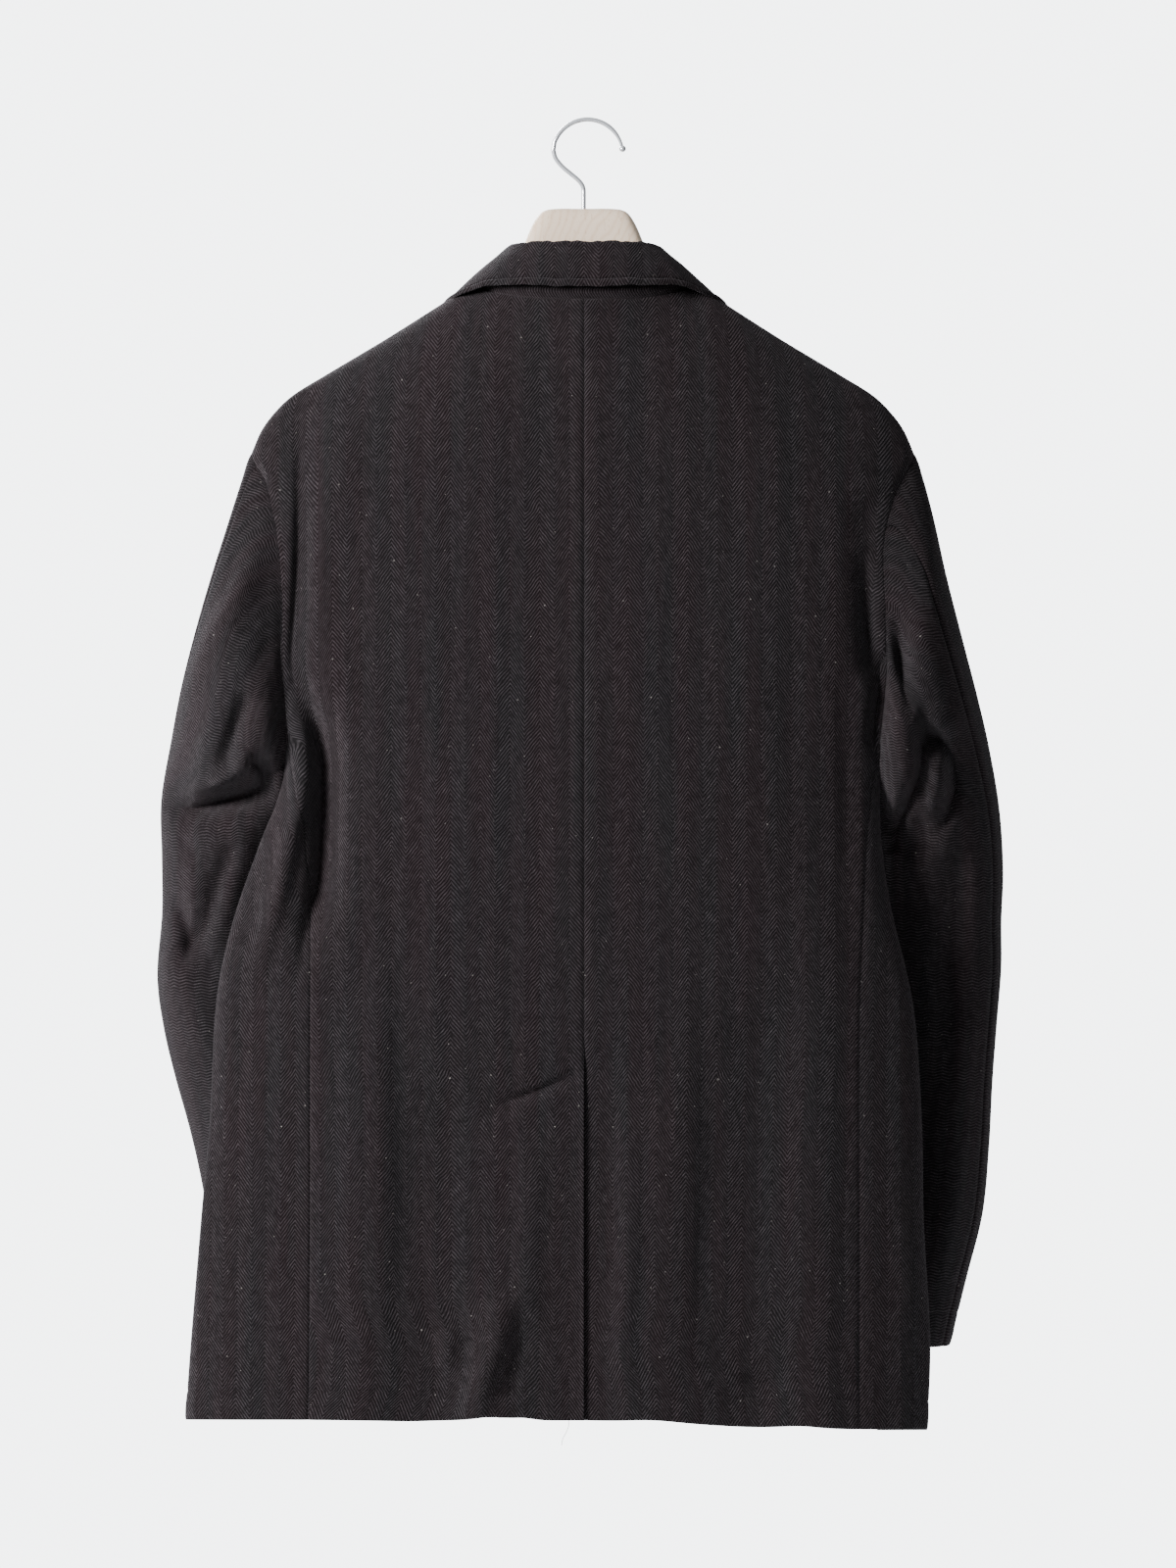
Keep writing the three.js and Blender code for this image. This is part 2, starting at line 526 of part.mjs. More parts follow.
// A point of one of the collar's three lines, at a share from the left front end round to the right.
function collarLine(round, line) {
  const at = Math.abs(round * 2 - 1);
  const side = round < 0.5 ? LEFT : RIGHT;
  const along = (axis) => COLLAR.map((row) => ({ at: row.at, here: row[line][axis] }));
  const value = (axis) => read(along(axis), 'at', at, 'here');
  return new THREE.Vector3(side * value(0), value(1), value(2));
}

// The directions across and out of the collar's fall at a place round the neck.
function collarFrame(round) {
  const step = 0.01;
  const fold = collarLine(round, 'fold');
  const ahead = collarLine(Math.min(1, round + step), 'fold');
  const behind = collarLine(Math.max(0, round - step), 'fold');
  const run = ahead.sub(behind).normalize();
  const across = collarLine(round, 'edge').sub(fold);
  across.addScaledVector(run, -across.dot(run)).normalize();
  const out = across.clone().cross(run).normalize();
  return { fold, across, out };
}

// The neck band, from the neck seam up to just under the collar's fold.
function collarStand() {
  return sheet('collar_stand', 24, 3, (u, v) => {
    const { fold, across, out } = collarFrame(u);
    const top = fold.addScaledVector(across, FOLD_RADIUS + STAND_GAP).addScaledVector(out, -FOLD_RADIUS);
    return collarLine(u, 'seam').lerp(top, v);
  });
}

// The turned-down collar: round the fold, then out and down to its edge.
function collarFall() {
  const bend = 0.25;
  return sheet('collar_fall', 24, 8, (u, v) => {
    const { fold, across, out } = collarFrame(u);
    const centre = fold.clone().addScaledVector(across, FOLD_RADIUS);
    const turn = mix(-Math.PI / 2, Math.PI / 2, Math.min(1, v / bend));
    const crest = centre.addScaledVector(across, -FOLD_RADIUS * Math.cos(turn));
    crest.addScaledVector(out, FOLD_RADIUS * Math.sin(turn));
    const down = Math.max(0, (v - bend) / (1 - bend));
    return crest.lerp(collarLine(u, 'edge'), down);
  });
}

// The armhole's edge at an angle from its top, going over the back.
function armholeEdge(side, angle) {
  const half = HALF[side];
  const middle = (ARMHOLE_TOP + ARMHOLE_FOOT - ARMHOLE_SCOOP) / 2;
  const reach = middle - ARMHOLE_FOOT + ARMHOLE_SCOOP;
  const foot = Math.acos((ARMHOLE_FOOT - middle) / reach);
  const turn = Math.abs(angle - Math.PI);
  if (turn < Math.PI - foot) {
    const u = (angle - foot) / (2 * (Math.PI - foot));
    const z = ARMHOLE_FOOT - ARMHOLE_SCOOP * Math.sin(Math.PI * u);
    return roundHalf(side, mix(seamAngle(half, z, 'edge'), Math.PI - seamAngle(half, z, 'front'), u), z);
  }
  const z = middle + reach * Math.cos(angle);
  const edge = read(half, 'z', z, 'edge');
  return angle < Math.PI ? onBack(side * edge, z, 0) : onFront(side * edge, z, 0);
}

// A point of a sleeve: `ring` runs from the armhole to the cuff, `angle` from the outer side over the back.
function sleevePoint(side, ring, angle) {
  const table = SLEEVE[side];
  const value = (name) => read(table, 'ring', ring, name);
  const cosine = Math.cos(angle);
  const sine = Math.sin(angle);
  const x = side * ((value('outX') + value('inX')) / 2 + (value('outX') - value('inX')) / 2 * cosine);
  const z = (value('outZ') + value('inZ')) / 2 + (value('outZ') - value('inZ')) / 2 * cosine;
  const folds = foldHeight(SLEEVE_FOLDS[side], x, z) * Math.max(0, sine) * smooth(ring, 0, 0.1);
  const point = new THREE.Vector3(x, value('midY') + value('deep') * sine + folds, z);
  const join = 1 - smooth(ring, 0, 0.12);
  return point.lerp(armholeEdge(side, angle), join);
}

// One of the two pieces of a sleeve, between two seams that are given in degrees.
function sleevePiece(name, side, columns, fromSeam, toSeam) {
  const table = SLEEVE[side];
  const gap = SEAM_GAP / 45;
  return sheet(name, columns, SLEEVE_ROWS, (u, v) => {
    const back = read(table, 'ring', v, 'seam');
    const from = radians(fromSeam(back)) + gap / 2;
    const to = radians(toSeam(back)) - gap / 2;
    const angle = (mix(from, to, u) + 2 * Math.PI) % (2 * Math.PI);
    const point = sleevePoint(side, v, angle);
    const start = SLEEVE_START * (1 - smooth(v, 0, 0.2));
    point.x += side * start;
    point.z -= start / 2 * Math.max(0, Math.cos(angle));
    return point;
  });
}

// A turned button on the left front, facing out of the cloth.
function button(name, x, z) {
  const rim = BUTTON_RADIUS * 0.78;
  const profile = [
    [0, 0], [BUTTON_RADIUS - 1.2, 0], [BUTTON_RADIUS, 1.2], [BUTTON_RADIUS - 0.4, BUTTON_THICK - 0.5],
    [BUTTON_RADIUS - 1.4, BUTTON_THICK], [rim, BUTTON_THICK - 0.9], [0, BUTTON_THICK - 1.2],
  ];
  const turned = new THREE.LatheGeometry(profile.map(([r, h]) => new THREE.Vector2(r, h)), BUTTON_SIDES);
  const mesh = new THREE.Mesh(turned, new THREE.MeshStandardMaterial({ color: 0x1a1513, roughness: 0.4 }));
  const outside = (atX, atZ) => onFront(atX, atZ, lapLift(atX) + WALL / 2 + BUTTON_GAP);
  const aside = outside(x + BUTTON_RADIUS, z).sub(outside(x - BUTTON_RADIUS, z));
  const up = outside(x, z + BUTTON_RADIUS).sub(outside(x, z - BUTTON_RADIUS));
  const facing = aside.cross(up).normalize();
  mesh.position.copy(outside(x, z));
  mesh.quaternion.setFromUnitVectors(new THREE.Vector3(0, 1, 0), facing);
  mesh.name = name;
  return mesh;
}

// The shaped wooden hanger: oval rings strung along X.
function hangerWood() {
  const places = [];
  for (const row of [...WOOD].reverse()) places.push({ ...row, x: -row.out });
  for (const row of WOOD.slice(1)) places.push({ ...row, x: row.out });
  const positions = [];
  for (const row of places) {
    const half = HALF[row.x < 0 ? RIGHT : LEFT];
    const seam = read(SHOULDER, 'out', row.out / read(half, 'z', ARMHOLE_TOP, 'edge'), 'z');
    const top = row.out < NECK_REACH ? row.top : Math.min(row.top, seam - WALL / 2 - REST_GAP);
    const middle = (top + row.bottom) / 2;
    for (let i = 0; i < WOOD_SIDES; i += 1) {
      const turn = 2 * Math.PI * i / WOOD_SIDES;
      positions.push(row.x, row.thick * Math.sin(turn), middle + (top - middle) * Math.cos(turn));
    }
  }
  const index = [];
  for (let r = 0; r < places.length - 1; r += 1) {
    for (let i = 0; i < WOOD_SIDES; i += 1) {
      const next = (i + 1) % WOOD_SIDES;
      const a = r * WOOD_SIDES;
      const b = a + WOOD_SIDES;
      index.push(a + i, a + next, b + next, a + i, b + next, b + i);
    }
  }
  for (let i = 1; i < WOOD_SIDES - 1; i += 1) {
    const end = (places.length - 1) * WOOD_SIDES;
    index.push(0, i + 1, i);
    index.push(end, end + i, end + i + 1);
  }
  return solid('hanger_wood', positions, index, 0xd8b48c, { roughness: 0.55, metalness: 0 });
}

// The wire hook: stem, slanting neck and an open circle that ends in a ball.
function hangerHook() {
  const points = STEM.map((place) => new THREE.Vector3(place.x, 0, place.z));
  const steps = 14;
  for (let i = 0; i <= steps; i += 1) {
    const turn = radians(mix(HOOK_START, HOOK_END, i / steps));
    points.push(new THREE.Vector3(
      HOOK_CENTRE.x + HOOK_RADIUS * Math.cos(turn),
      0,
      HOOK_CENTRE.z + HOOK_RADIUS * Math.sin(turn),
    ));
  }
  const end = points[points.length - 1];
  const heading = end.clone().sub(points[points.length - 2]).normalize();
  const circle = new THREE.Shape();
  circle.absarc(0, 0, WIRE, 0, 2 * Math.PI);
  const route = new THREE.CatmullRomCurve3(points, false, 'centripetal');
  const wire = new THREE.ExtrudeGeometry(circle, { extrudePath: route, steps: 34, curveSegments: 4 });
  const ball = new THREE.SphereGeometry(HOOK_BALL, 12, 8);
  const centre = end.addScaledVector(heading, HOOK_BALL + SEAM_GAP);
  ball.translate(centre.x, centre.y, centre.z);
  return { wire, ball };
}

const jacket = new THREE.Group();
jacket.add(backLeft(), backRight());
jacket.add(sidePanel('side_left', LEFT), sidePanel('side_right', RIGHT));
jacket.add(frontPanel('front_left', LEFT), frontPanel('front_right', RIGHT));
jacket.add(lapel('lapel_left', LEFT), lapel('lapel_right', RIGHT));
jacket.add(collarStand(), collarFall());
const sides = [
  { word: 'left', side: LEFT, outer: 9, under: 13 },
  { word: 'right', side: RIGHT, outer: 11, under: 10 },
];
const frontSeam = () => FRONT_SEAM_ANGLE;
const frontSeamFromOutside = () => FRONT_SEAM_ANGLE - 360;
const backSeam = (back) => back;
for (const { word, side, outer, under } of sides) {
  const outside = sleevePiece(`sleeve_top_${word}`, side, outer, frontSeamFromOutside, backSeam);
  const underneath = sleevePiece(`sleeve_under_${word}`, side, under, backSeam, frontSeam);
  jacket.add(outside, underneath);
}
BUTTON_ROWS.forEach((z, row) => {
  jacket.add(button(`button_${row * 2 + 1}`, -BUTTON_APART / 2, z));
  jacket.add(button(`button_${row * 2 + 2}`, BUTTON_APART / 2, z));
});
jacket.add(hangerWood());
const { wire, ball } = hangerHook();
const chrome = new THREE.MeshStandardMaterial({ color: 0xc8c8cc, roughness: 0.2, metalness: 1 });
const hook = new THREE.Mesh(wire, chrome);
hook.name = 'hanger_hook';
jacket.add(hook);
const tip = new THREE.Mesh(ball, chrome.clone());
tip.name = 'hook_ball';
jacket.add(tip);

export default jacket;
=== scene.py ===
import math
import bpy
import numpy as np
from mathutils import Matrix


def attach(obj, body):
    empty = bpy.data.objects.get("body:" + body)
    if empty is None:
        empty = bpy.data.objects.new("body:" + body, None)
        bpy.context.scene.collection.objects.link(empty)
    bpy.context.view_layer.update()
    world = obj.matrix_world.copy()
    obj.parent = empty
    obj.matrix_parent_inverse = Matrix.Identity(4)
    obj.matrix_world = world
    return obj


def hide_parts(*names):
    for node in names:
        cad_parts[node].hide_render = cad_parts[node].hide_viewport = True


# A dark herringbone double-breasted jacket on a wooden hanger.
# The front faces -Y and the wearer's left is +X. Tables are in millimetres; meshes are made in metres.
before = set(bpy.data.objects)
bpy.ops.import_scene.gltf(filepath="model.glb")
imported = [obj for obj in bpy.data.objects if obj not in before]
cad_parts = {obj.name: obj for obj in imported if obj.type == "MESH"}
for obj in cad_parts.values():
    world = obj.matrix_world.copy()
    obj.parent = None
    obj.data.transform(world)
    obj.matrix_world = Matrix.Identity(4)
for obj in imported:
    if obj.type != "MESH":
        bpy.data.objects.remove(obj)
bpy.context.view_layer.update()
left, right = 1, -1

trunk = {
    "wall": 1.6,            # thickness of the cloth
    "seamGap": 0.3,
    "squareness": 2.6,      # the section is x = wide * sin(a)^(2/squareness), y = deep * cos(a)
    "roof": 100,            # height over which the trunk rounds over into the shoulder seam
    "neckReach": 74,
    "neckLow": -124.4,
    "neckRise": 7.4,
    "armholeTop": -232,
    "armholeFoot": -432,
    "armholeScoop": 15,
    "hem": -901,
    "hemDrop": 8.4,
    "frontHem": 2.5,
    left: {
        "z": [-902, -851, -766, -692, -611, -558, -500, -470, -447, -432, -403, -379, -336, -294,
              -265, -248, -232, -80],
        "wide": [276.6, 273, 266, 259.5, 255, 244, 224, 212, 208, 211, 222, 231, 240, 245,
                 248, 250, 252, 252],
        "edge": [191, 190.5, 190, 190, 190, 190, 195, 199, 203, 205, 208, 210.5, 210, 212.5,
                 218, 222.5, 231, 231],
        "front": [221, 220, 218, 216, 213, 209, 206, 203, 203.5, 205, 208, 210.5, 210, 212.5,
                  218, 222.5, 231, 231],
    },
    right: {
        "z": [-910, -850, -766, -692, -614, -543, -500, -470, -447, -432, -403, -374, -336, -294,
              -265, -248, -232, -80],
        "wide": [238, 240, 235.5, 234, 228, 212, 206, 205, 207, 211, 221, 230, 238, 244,
                 247, 249, 252, 252],
        "edge": [190.5, 190.5, 190.5, 190.5, 191, 194, 196, 198.5, 202, 205, 208.5, 210.5, 209.5, 208.5,
                 214.5, 221.5, 229, 229],
        "front": [205, 205, 204, 203, 201, 197, 198, 199, 202.5, 205, 208.5, 210.5, 209.5, 208.5,
                  214.5, 221.5, 229, 229],
    },
    "depth": {
        "z": [-910, -780, -650, -450, -250, -80],
        "back": [42, 40, 38, 41, 43, 42],
        "front": [47, 46, 45, 48, 48, 45],
    },
    "shoulder": {
        "out": [0, 0.16, 0.32, 0.38, 0.42, 0.59, 0.777, 0.868, 0.918, 0.965, 1],
        "z": [-86, -102, -117, -120.5, -126.5, -151.5, -177.5, -190.5, -201, -215, -232],
    },
}


def readTable(table, column, place, name):
    # cubic through the rows, where each row's slope is that of the line between its neighbours
    xs = np.array(table[column], float)
    ys = np.array(table[name], float)
    if xs[0] > xs[-1]:
        xs, ys = xs[::-1], ys[::-1]
    place = np.clip(place, xs[0], xs[-1])
    i = np.clip(np.searchsorted(xs, place, side="right") - 1, 0, len(xs) - 2)
    before = np.maximum(np.arange(len(xs)) - 1, 0)
    after = np.minimum(np.arange(len(xs)) + 1, len(xs) - 1)
    slope = (ys[after] - ys[before]) / (xs[after] - xs[before])
    span = xs[i + 1] - xs[i]
    t = (place - xs[i]) / span
    return ((2 * t**3 - 3 * t**2 + 1) * ys[i] + (t**3 - 2 * t**2 + t) * slope[i] * span
            + (3 * t**2 - 2 * t**3) * ys[i + 1] + (t**3 - t**2) * slope[i + 1] * span)


def mix(a, b, share):
    return a + (b - a) * share


def smooth(x, low, high):
    # 0 below low, 1 above high, and 3t^2 - 2t^3 between
    t = np.clip((x - low) / (high - low), 0, 1)
    return t * t * (3 - 2 * t)


def bell(x, wide):
    return np.exp(-(x / wide) ** 2)


def unit(vectors):
    return vectors / np.linalg.norm(vectors, axis=-1, keepdims=True)


def stretches(*parts):
    # shares that follow each other in stretches of their own spacing: start, end and count of each
    return np.concatenate([np.linspace(*part)[:-1] for part in parts[:-1]] + [np.linspace(*parts[-1])])


def half(x, z, name):
    # a column of the table of the half on which x lies
    z = np.broadcast_to(z, np.shape(x))
    return np.where(x < 0, readTable(trunk[right], "z", z, name), readTable(trunk[left], "z", z, name))


# Folds and creases, drawn on the hanging cloth. A fold: x and z of its two ends, its width and its height.
backFolds = [
    (199, -190, 205, -420, 13, -5),
    (-195, -275, -199, -375, 12, -5),
    (170, -390, 164, -560, 20, 3),
    (183, -425, 180, -535, 13, -7),
    (204, -425, 213, -550, 13, 5),
    (150, -640, 158, -905, 26, 5),
    (96, -700, 106, -905, 24, -5),
    (55, -826, 74, -905, 20, 6),
    (8, -664, 62, -684, 9, -2.5),
    (-60, -700, -52, -910, 24, 4),
    (-118, -640, -112, -910, 26, -5),
    (-160, -560, -164, -910, 24, 4),
]
frontFolds = [
    (196, -240, 200, -400, 13, -4),
    (-192, -250, -198, -400, 13, -4),
    (150, -470, 140, -905, 28, -5),
    (-146, -500, -138, -910, 28, -5),
    (180, -560, 184, -905, 22, 4),
]
sleeveFolds = {
    left: [
        (290, -474, 226, -462, 13, -13),
        (286, -440, 226, -425, 16, 6),
        (233, -404, 247, -450, 9, -6),
        (238, -322, 276, -392, 14, 5),
        (292, -543, 262, -585, 14, -7),
        (288, -600, 262, -640, 16, 5),
    ],
    right: [
        (-210, -352, -238, -428, 11, -8),
        (-240, -430, -232, -500, 12, -8),
        (-222, -400, -226, -470, 11, 5),
        (-250, -425, -256, -500, 13, 6),
        (-262, -430, -262, -580, 14, -6),
        (-262, -640, -266, -800, 14, 4),
    ],
}
# finer creases: a line of places, its widths to the left and to the right of the way it runs, its height.
# A line that runs down has +X on its left, and one that runs towards +X has the cloth above it there.
backCreases = [
    ([(201, -386), (188, -414), (181, -442), (181, -468), (182, -498), (185, -530), (192, -562),
      (198, -598)], 6, 13, -15),
    ([(207, -398), (200.5, -416), (195.5, -432), (194, -450), (196, -470), (202, -496), (210, -532),
      (220, -569), (227, -604)], 9, 5, 9),
    ([(198.5, -209), (198.5, -257), (199, -297), (201, -338), (203, -372), (200.5, -397)], 3, 9, -6),
    ([(209.5, -216), (207.5, -257), (206, -297), (206.5, -338)], 6, 8, 2),
    ([(-208, -366), (-205.5, -395), (-202.5, -416), (-200.5, -442)], 5, 4, -10),
    ([(-193, -297), (-195, -338), (-198, -367), (-201, -395)], 7, 5, -6),
    ([(-226.5, -753), (-228.5, -800), (-230, -843)], 8, 6, 3),
    ([(5, -660), (20, -666.5), (38, -674), (60, -682)], 1.4, 6, -4),
    ([(8, -665), (26, -675), (44, -685), (60, -694)], 5, 10, 2.4),
    ([(57, -818), (61, -850), (70, -880), (73, -900)], 12, 5.5, 7.5),
    ([(43, -815), (46, -850), (55, -885)], 5, 11, -5.5),
    ([(88, -838), (94, -850), (92, -868)], 10, 6, 5.5),
    ([(-108, -869), (-124, -875), (-141, -872)], 10, 6, -4),
    ([(-30, -690), (-33, -760), (-27, -850), (-31, -900)], 9, 6, 3.6),
    ([(-84, -640), (-88, -720), (-83, -800), (-86, -880)], 7, 10, -3.4),
    ([(-66, -560), (-70, -640), (-62, -730)], 11, 8, 1.3),
    ([(124, -560), (129, -650), (125, -760), (131, -850)], 7, 12, -3.4),
    ([(30, -700), (36, -780), (33, -870)], 12, 7, 3),
    ([(-176, -380), (-181, -470), (-178, -560)], 6, 9, -1.8),
    ([(-150, -300), (-163, -380), (-160, -470)], 10, 12, 1.3),
    ([(160, -200), (178, -280), (182, -360)], 9, 12, 1.6),
    ([(120, -160), (140, -210), (150, -280)], 11, 14, -1.2),
    ([(-125, -165), (-146, -220), (-152, -290)], 14, 12, -1.2),
    ([(-60, -150), (-30, -163), (0, -166), (34, -162), (64, -150)], 6, 9, -0.9),
]
frontCreases = [
    ([(120, -560), (126, -650), (122, -780)], 8, 12, -3.6),
    ([(-100, -600), (-106, -700), (-101, -850)], 12, 8, 3.6),
    ([(90, -700), (84, -790), (88, -880)], 10, 7, 4),
    ([(-46, -590), (-20, -610), (10, -604)], 6, 10, -2.6),
    ([(150, -300), (168, -380), (176, -450)], 12, 8, 4),
    ([(-150, -310), (-166, -390), (-172, -460)], 8, 11, 4),
    ([(170, -440), (186, -500), (190, -570)], 8, 7, -7),
    ([(-168, -440), (-184, -500), (-188, -580)], 7, 8, -7),
]
sleeveCreases = {
    left: [
        ([(220, -270), (238, -320), (260, -359), (276, -383)], 6, 10, 5),
        ([(231, -250), (247, -318), (267, -352)], 8, 6, -3),
        ([(212, -352), (227, -379), (245, -397)], 7, 8, -3),
        ([(233, -398), (240, -416), (246, -432), (252, -449)], 7, 4, -10),
        ([(231, -438), (240, -452), (256, -461), (281, -467)], 9, 3, 11),
        ([(235, -443), (225, -449), (224, -460), (235, -467.5), (247, -471), (260, -474.5), (274, -477),
          (289, -477)], 3, 11, -19),
        ([(209, -398), (206, -414), (204, -431), (206, -443), (211, -450), (216, -452), (223, -449)], 4,
          3.5, -11),
        ([(243, -500), (247, -516), (255, -531), (265, -556)], 8, 5, -8),
        ([(275, -482), (276, -501), (273, -518)], 7, 6, -5),
        ([(292, -538), (289, -554), (285, -567), (287, -576), (295, -590)], 7, 5, 5),
        ([(282, -545), (277, -566), (277, -586)], 5, 6, -6),
        ([(252, -532), (260, -553), (271, -571), (278, -587)], 7, 4, -8),
        ([(235, -488), (242, -515), (252, -549), (260, -590)], 6, 8, 6),
        ([(240, -600), (237, -650), (232, -700)], 8, 7, -5),
        ([(262, -640), (254, -700), (246, -770)], 7, 9, 4),
    ],
    right: [
        ([(-235, -424), (-234, -450), (-226.5, -471), (-219.5, -491), (-216, -509)], 5, 3.5, -13),
        ([(-202, -445), (-207, -471), (-214, -496)], 4, 5, -12),
        ([(-232, -407), (-241, -422), (-250, -433), (-256, -444), (-258, -462), (-254, -480),
          (-248, -498)], 6, 4, -13),
        ([(-210, -325), (-215, -352), (-220, -381), (-224, -413)], 3, 7, -12),
        ([(-207, -330), (-210, -367), (-214, -412)], 4, 3, 6),
        ([(-226, -415), (-236, -416), (-246, -424)], 4, 6, 6),
        ([(-245, -440), (-244, -462), (-236, -486)], 6, 7, 8),
        ([(-228, -240), (-236, -270), (-241, -290)], 3, 2.5, -1.6),
        ([(-266, -470), (-272, -540), (-268, -610)], 6, 8, 4),
        ([(-250, -560), (-254, -620), (-248, -700)], 9, 7, -5),
        ([(-262, -700), (-256, -760), (-246, -820)], 8, 8, 4),
        ([(-236, -640), (-238, -710), (-232, -780)], 8, 7, -4),
    ],
}


def foldHeight(folds, x, z):
    # sum over the folds of height * exp(-distance^2 / width^2), the distance being that to the fold's line
    total = np.zeros(np.shape(x))
    for x1, z1, x2, z2, wide, high in folds:
        runX, runZ = x2 - x1, z2 - z1
        length = math.hypot(runX, runZ)
        share = ((x - x1) * runX + (z - z1) * runZ) / length**2
        aside = ((x - x1) * runZ - (z - z1) * runX) / length
        past = np.maximum(0, np.abs(share - 0.5) - 0.5) * length
        total += high * np.exp(-(aside**2 + past**2) / wide**2)
    return total


def throughPlaces(places, count):
    # a smooth line through a few places, evenly spaced in their number
    places = np.array(places, float)
    steps = {"at": np.arange(len(places)), **{k: places[:, k] for k in range(places.shape[1])}}
    at = np.linspace(0, len(places) - 1, count)
    return np.stack([readTable(steps, "at", at, k) for k in range(places.shape[1])], axis=-1)


def creaseHeight(creases, x, z):
    # height * bell(distance, width) * taper, with one width on each side and a taper of sin(pi * share)^0.7;
    # only the places in a box three widths round the crease are worked out
    x, z = np.broadcast_arrays(np.asarray(x, float), np.asarray(z, float))
    total = np.zeros(x.shape)
    for places, wideLeft, wideRight, height in creases:
        line = throughPlaces(places, 4 * len(places))
        reach = 3 * max(wideLeft, wideRight)
        low, high = line.min(axis=0) - reach, line.max(axis=0) + reach
        close = (x > low[0]) & (x < high[0]) & (z > low[1]) & (z < high[1])
        atX, atZ = x[close], z[close]
        best = np.full(atX.shape, 1e9)
        share = np.zeros(atX.shape)
        aside = np.zeros(atX.shape)
        for k in range(len(line) - 1):
            run = line[k + 1] - line[k]
            t = np.clip(((atX - line[k, 0]) * run[0] + (atZ - line[k, 1]) * run[1]) / (run @ run), 0, 1)
            awayX = atX - line[k, 0] - t * run[0]
            awayZ = atZ - line[k, 1] - t * run[1]
            away = np.hypot(awayX, awayZ)
            near = away < best
            best = np.where(near, away, best)
            share = np.where(near, (k + t) / (len(line) - 1), share)
            aside = np.where(near, run[0] * awayZ - run[1] * awayX, aside)
        wide = np.where(aside > 0, wideLeft, wideRight)
        total[close] += height * bell(best, wide) * np.sin(np.pi * share) ** 0.7
    return total


def slack(x, z, seed):
    # the cloth's own unevenness: long waves, each under a quarter of a millimetre high, and faint short ones
    waves = np.random.default_rng(seed)
    total = np.zeros(np.shape(x))
    for _ in range(9):
        alongX = waves.uniform(0.02, 0.11)
        alongZ = waves.uniform(-0.03, 0.03)
        total += np.sin(alongX * x + alongZ * z + waves.uniform(0, 6.28)) * waves.uniform(0.08, 0.24)
    for _ in range(12):
        alongX = waves.uniform(-0.22, 0.22)
        alongZ = waves.uniform(-0.2, 0.2)
        total += np.sin(alongX * x + alongZ * z + waves.uniform(0, 6.28)) * 0.045
    return total


def fullness(x, z):
    # sqrt(1 - across^squareness), times a quarter circle over the last `roof` below the shoulder seam
    across = np.minimum(1, np.abs(x) / half(x, z, "wide"))
    out = np.minimum(1, np.abs(x) / half(x, np.maximum(z, trunk["armholeFoot"]), "edge"))
    below = np.maximum(0, readTable(trunk["shoulder"], "out", out, "z") - z)
    rounding = np.sqrt(1 - np.maximum(0, 1 - below / trunk["roof"]) ** 2)
    return np.sqrt(1 - across ** trunk["squareness"]) * rounding


def onBack(x, z, lift=0):
    # the back's middle surface, `lift` outside it
    full = fullness(x, z)
    calm = smooth(full, 0, 0.5)
    creases = foldHeight(backFolds, x, z) + creaseHeight(backCreases, x, z) + slack(x, z, 3)
    y = trunk["seamGap"] / 2 + readTable(trunk["depth"], "z", z, "back") * full + creases * calm
    return np.stack([x, y + lift, z], axis=-1)


def onFront(x, z, lift=0):
    full = fullness(x, z)
    calm = smooth(full, 0, 0.5)
    creases = foldHeight(frontFolds, x, z) + creaseHeight(frontCreases, x, z) + slack(x, z, 5)
    y = trunk["seamGap"] / 2 + readTable(trunk["depth"], "z", z, "front") * full + creases * calm
    return np.stack([x, -y - lift, z], axis=-1)


def hemAt(x):
    return trunk["hem"] - trunk["hemDrop"] * np.clip(-x / 238, 0, 1)


def backHem(x):
    # the hem's line, lifted by each bell where a fold of the back runs out
    lifts = [(2.8, 65, 15), (1.6, 42, 10), (1.9, -47, 24), (-0.9, -112, 26), (1.2, -150, 16), (-0.8, 120, 22)]
    return hemAt(x) + sum(high * bell(x - at, wide) for high, at, wide in lifts)


def pucker(distance, z, seed):
    # a seam draws the cloth on both sides of it into short uneven ripples that die out over 9 mm
    ripple = np.sin(z * 0.45 + 2.6 * np.sin(z * 0.043 + seed)) * (0.6 + 0.4 * np.sin(z * 0.017 + 2 * seed))
    return 0.2 * ripple * bell(distance, 9)


# Materials.
def newMaterial(name):
    made = bpy.data.materials.new(name)
    made.use_nodes = True
    nodes = made.node_tree.nodes
    shader = nodes["Principled BSDF"]
    return made, nodes, made.node_tree.links, shader


def mathNode(nodes, links, kind, a, b=None, c=None):
    node = nodes.new("ShaderNodeMath")
    node.operation = kind
    for socket, value in zip(node.inputs, (a, b, c)):
        if value is None:
            continue
        if isinstance(value, (int, float)):
            socket.default_value = value
        else:
            links.new(value, socket)
    return node.outputs[0]


def mixColour(nodes, links, share, a, b):
    node = nodes.new("ShaderNodeMix")
    node.data_type = "RGBA"
    for name, value in (("Factor_Float", share), ("A_Color", a), ("B_Color", b)):
        socket = next(s for s in node.inputs if s.identifier == name)
        if isinstance(value, (int, float)):
            socket.default_value = value
        elif isinstance(value, tuple):
            socket.default_value = (*value, 1)
        else:
            links.new(value, socket)
    return next(s for s in node.outputs if s.identifier == "Result_Color")


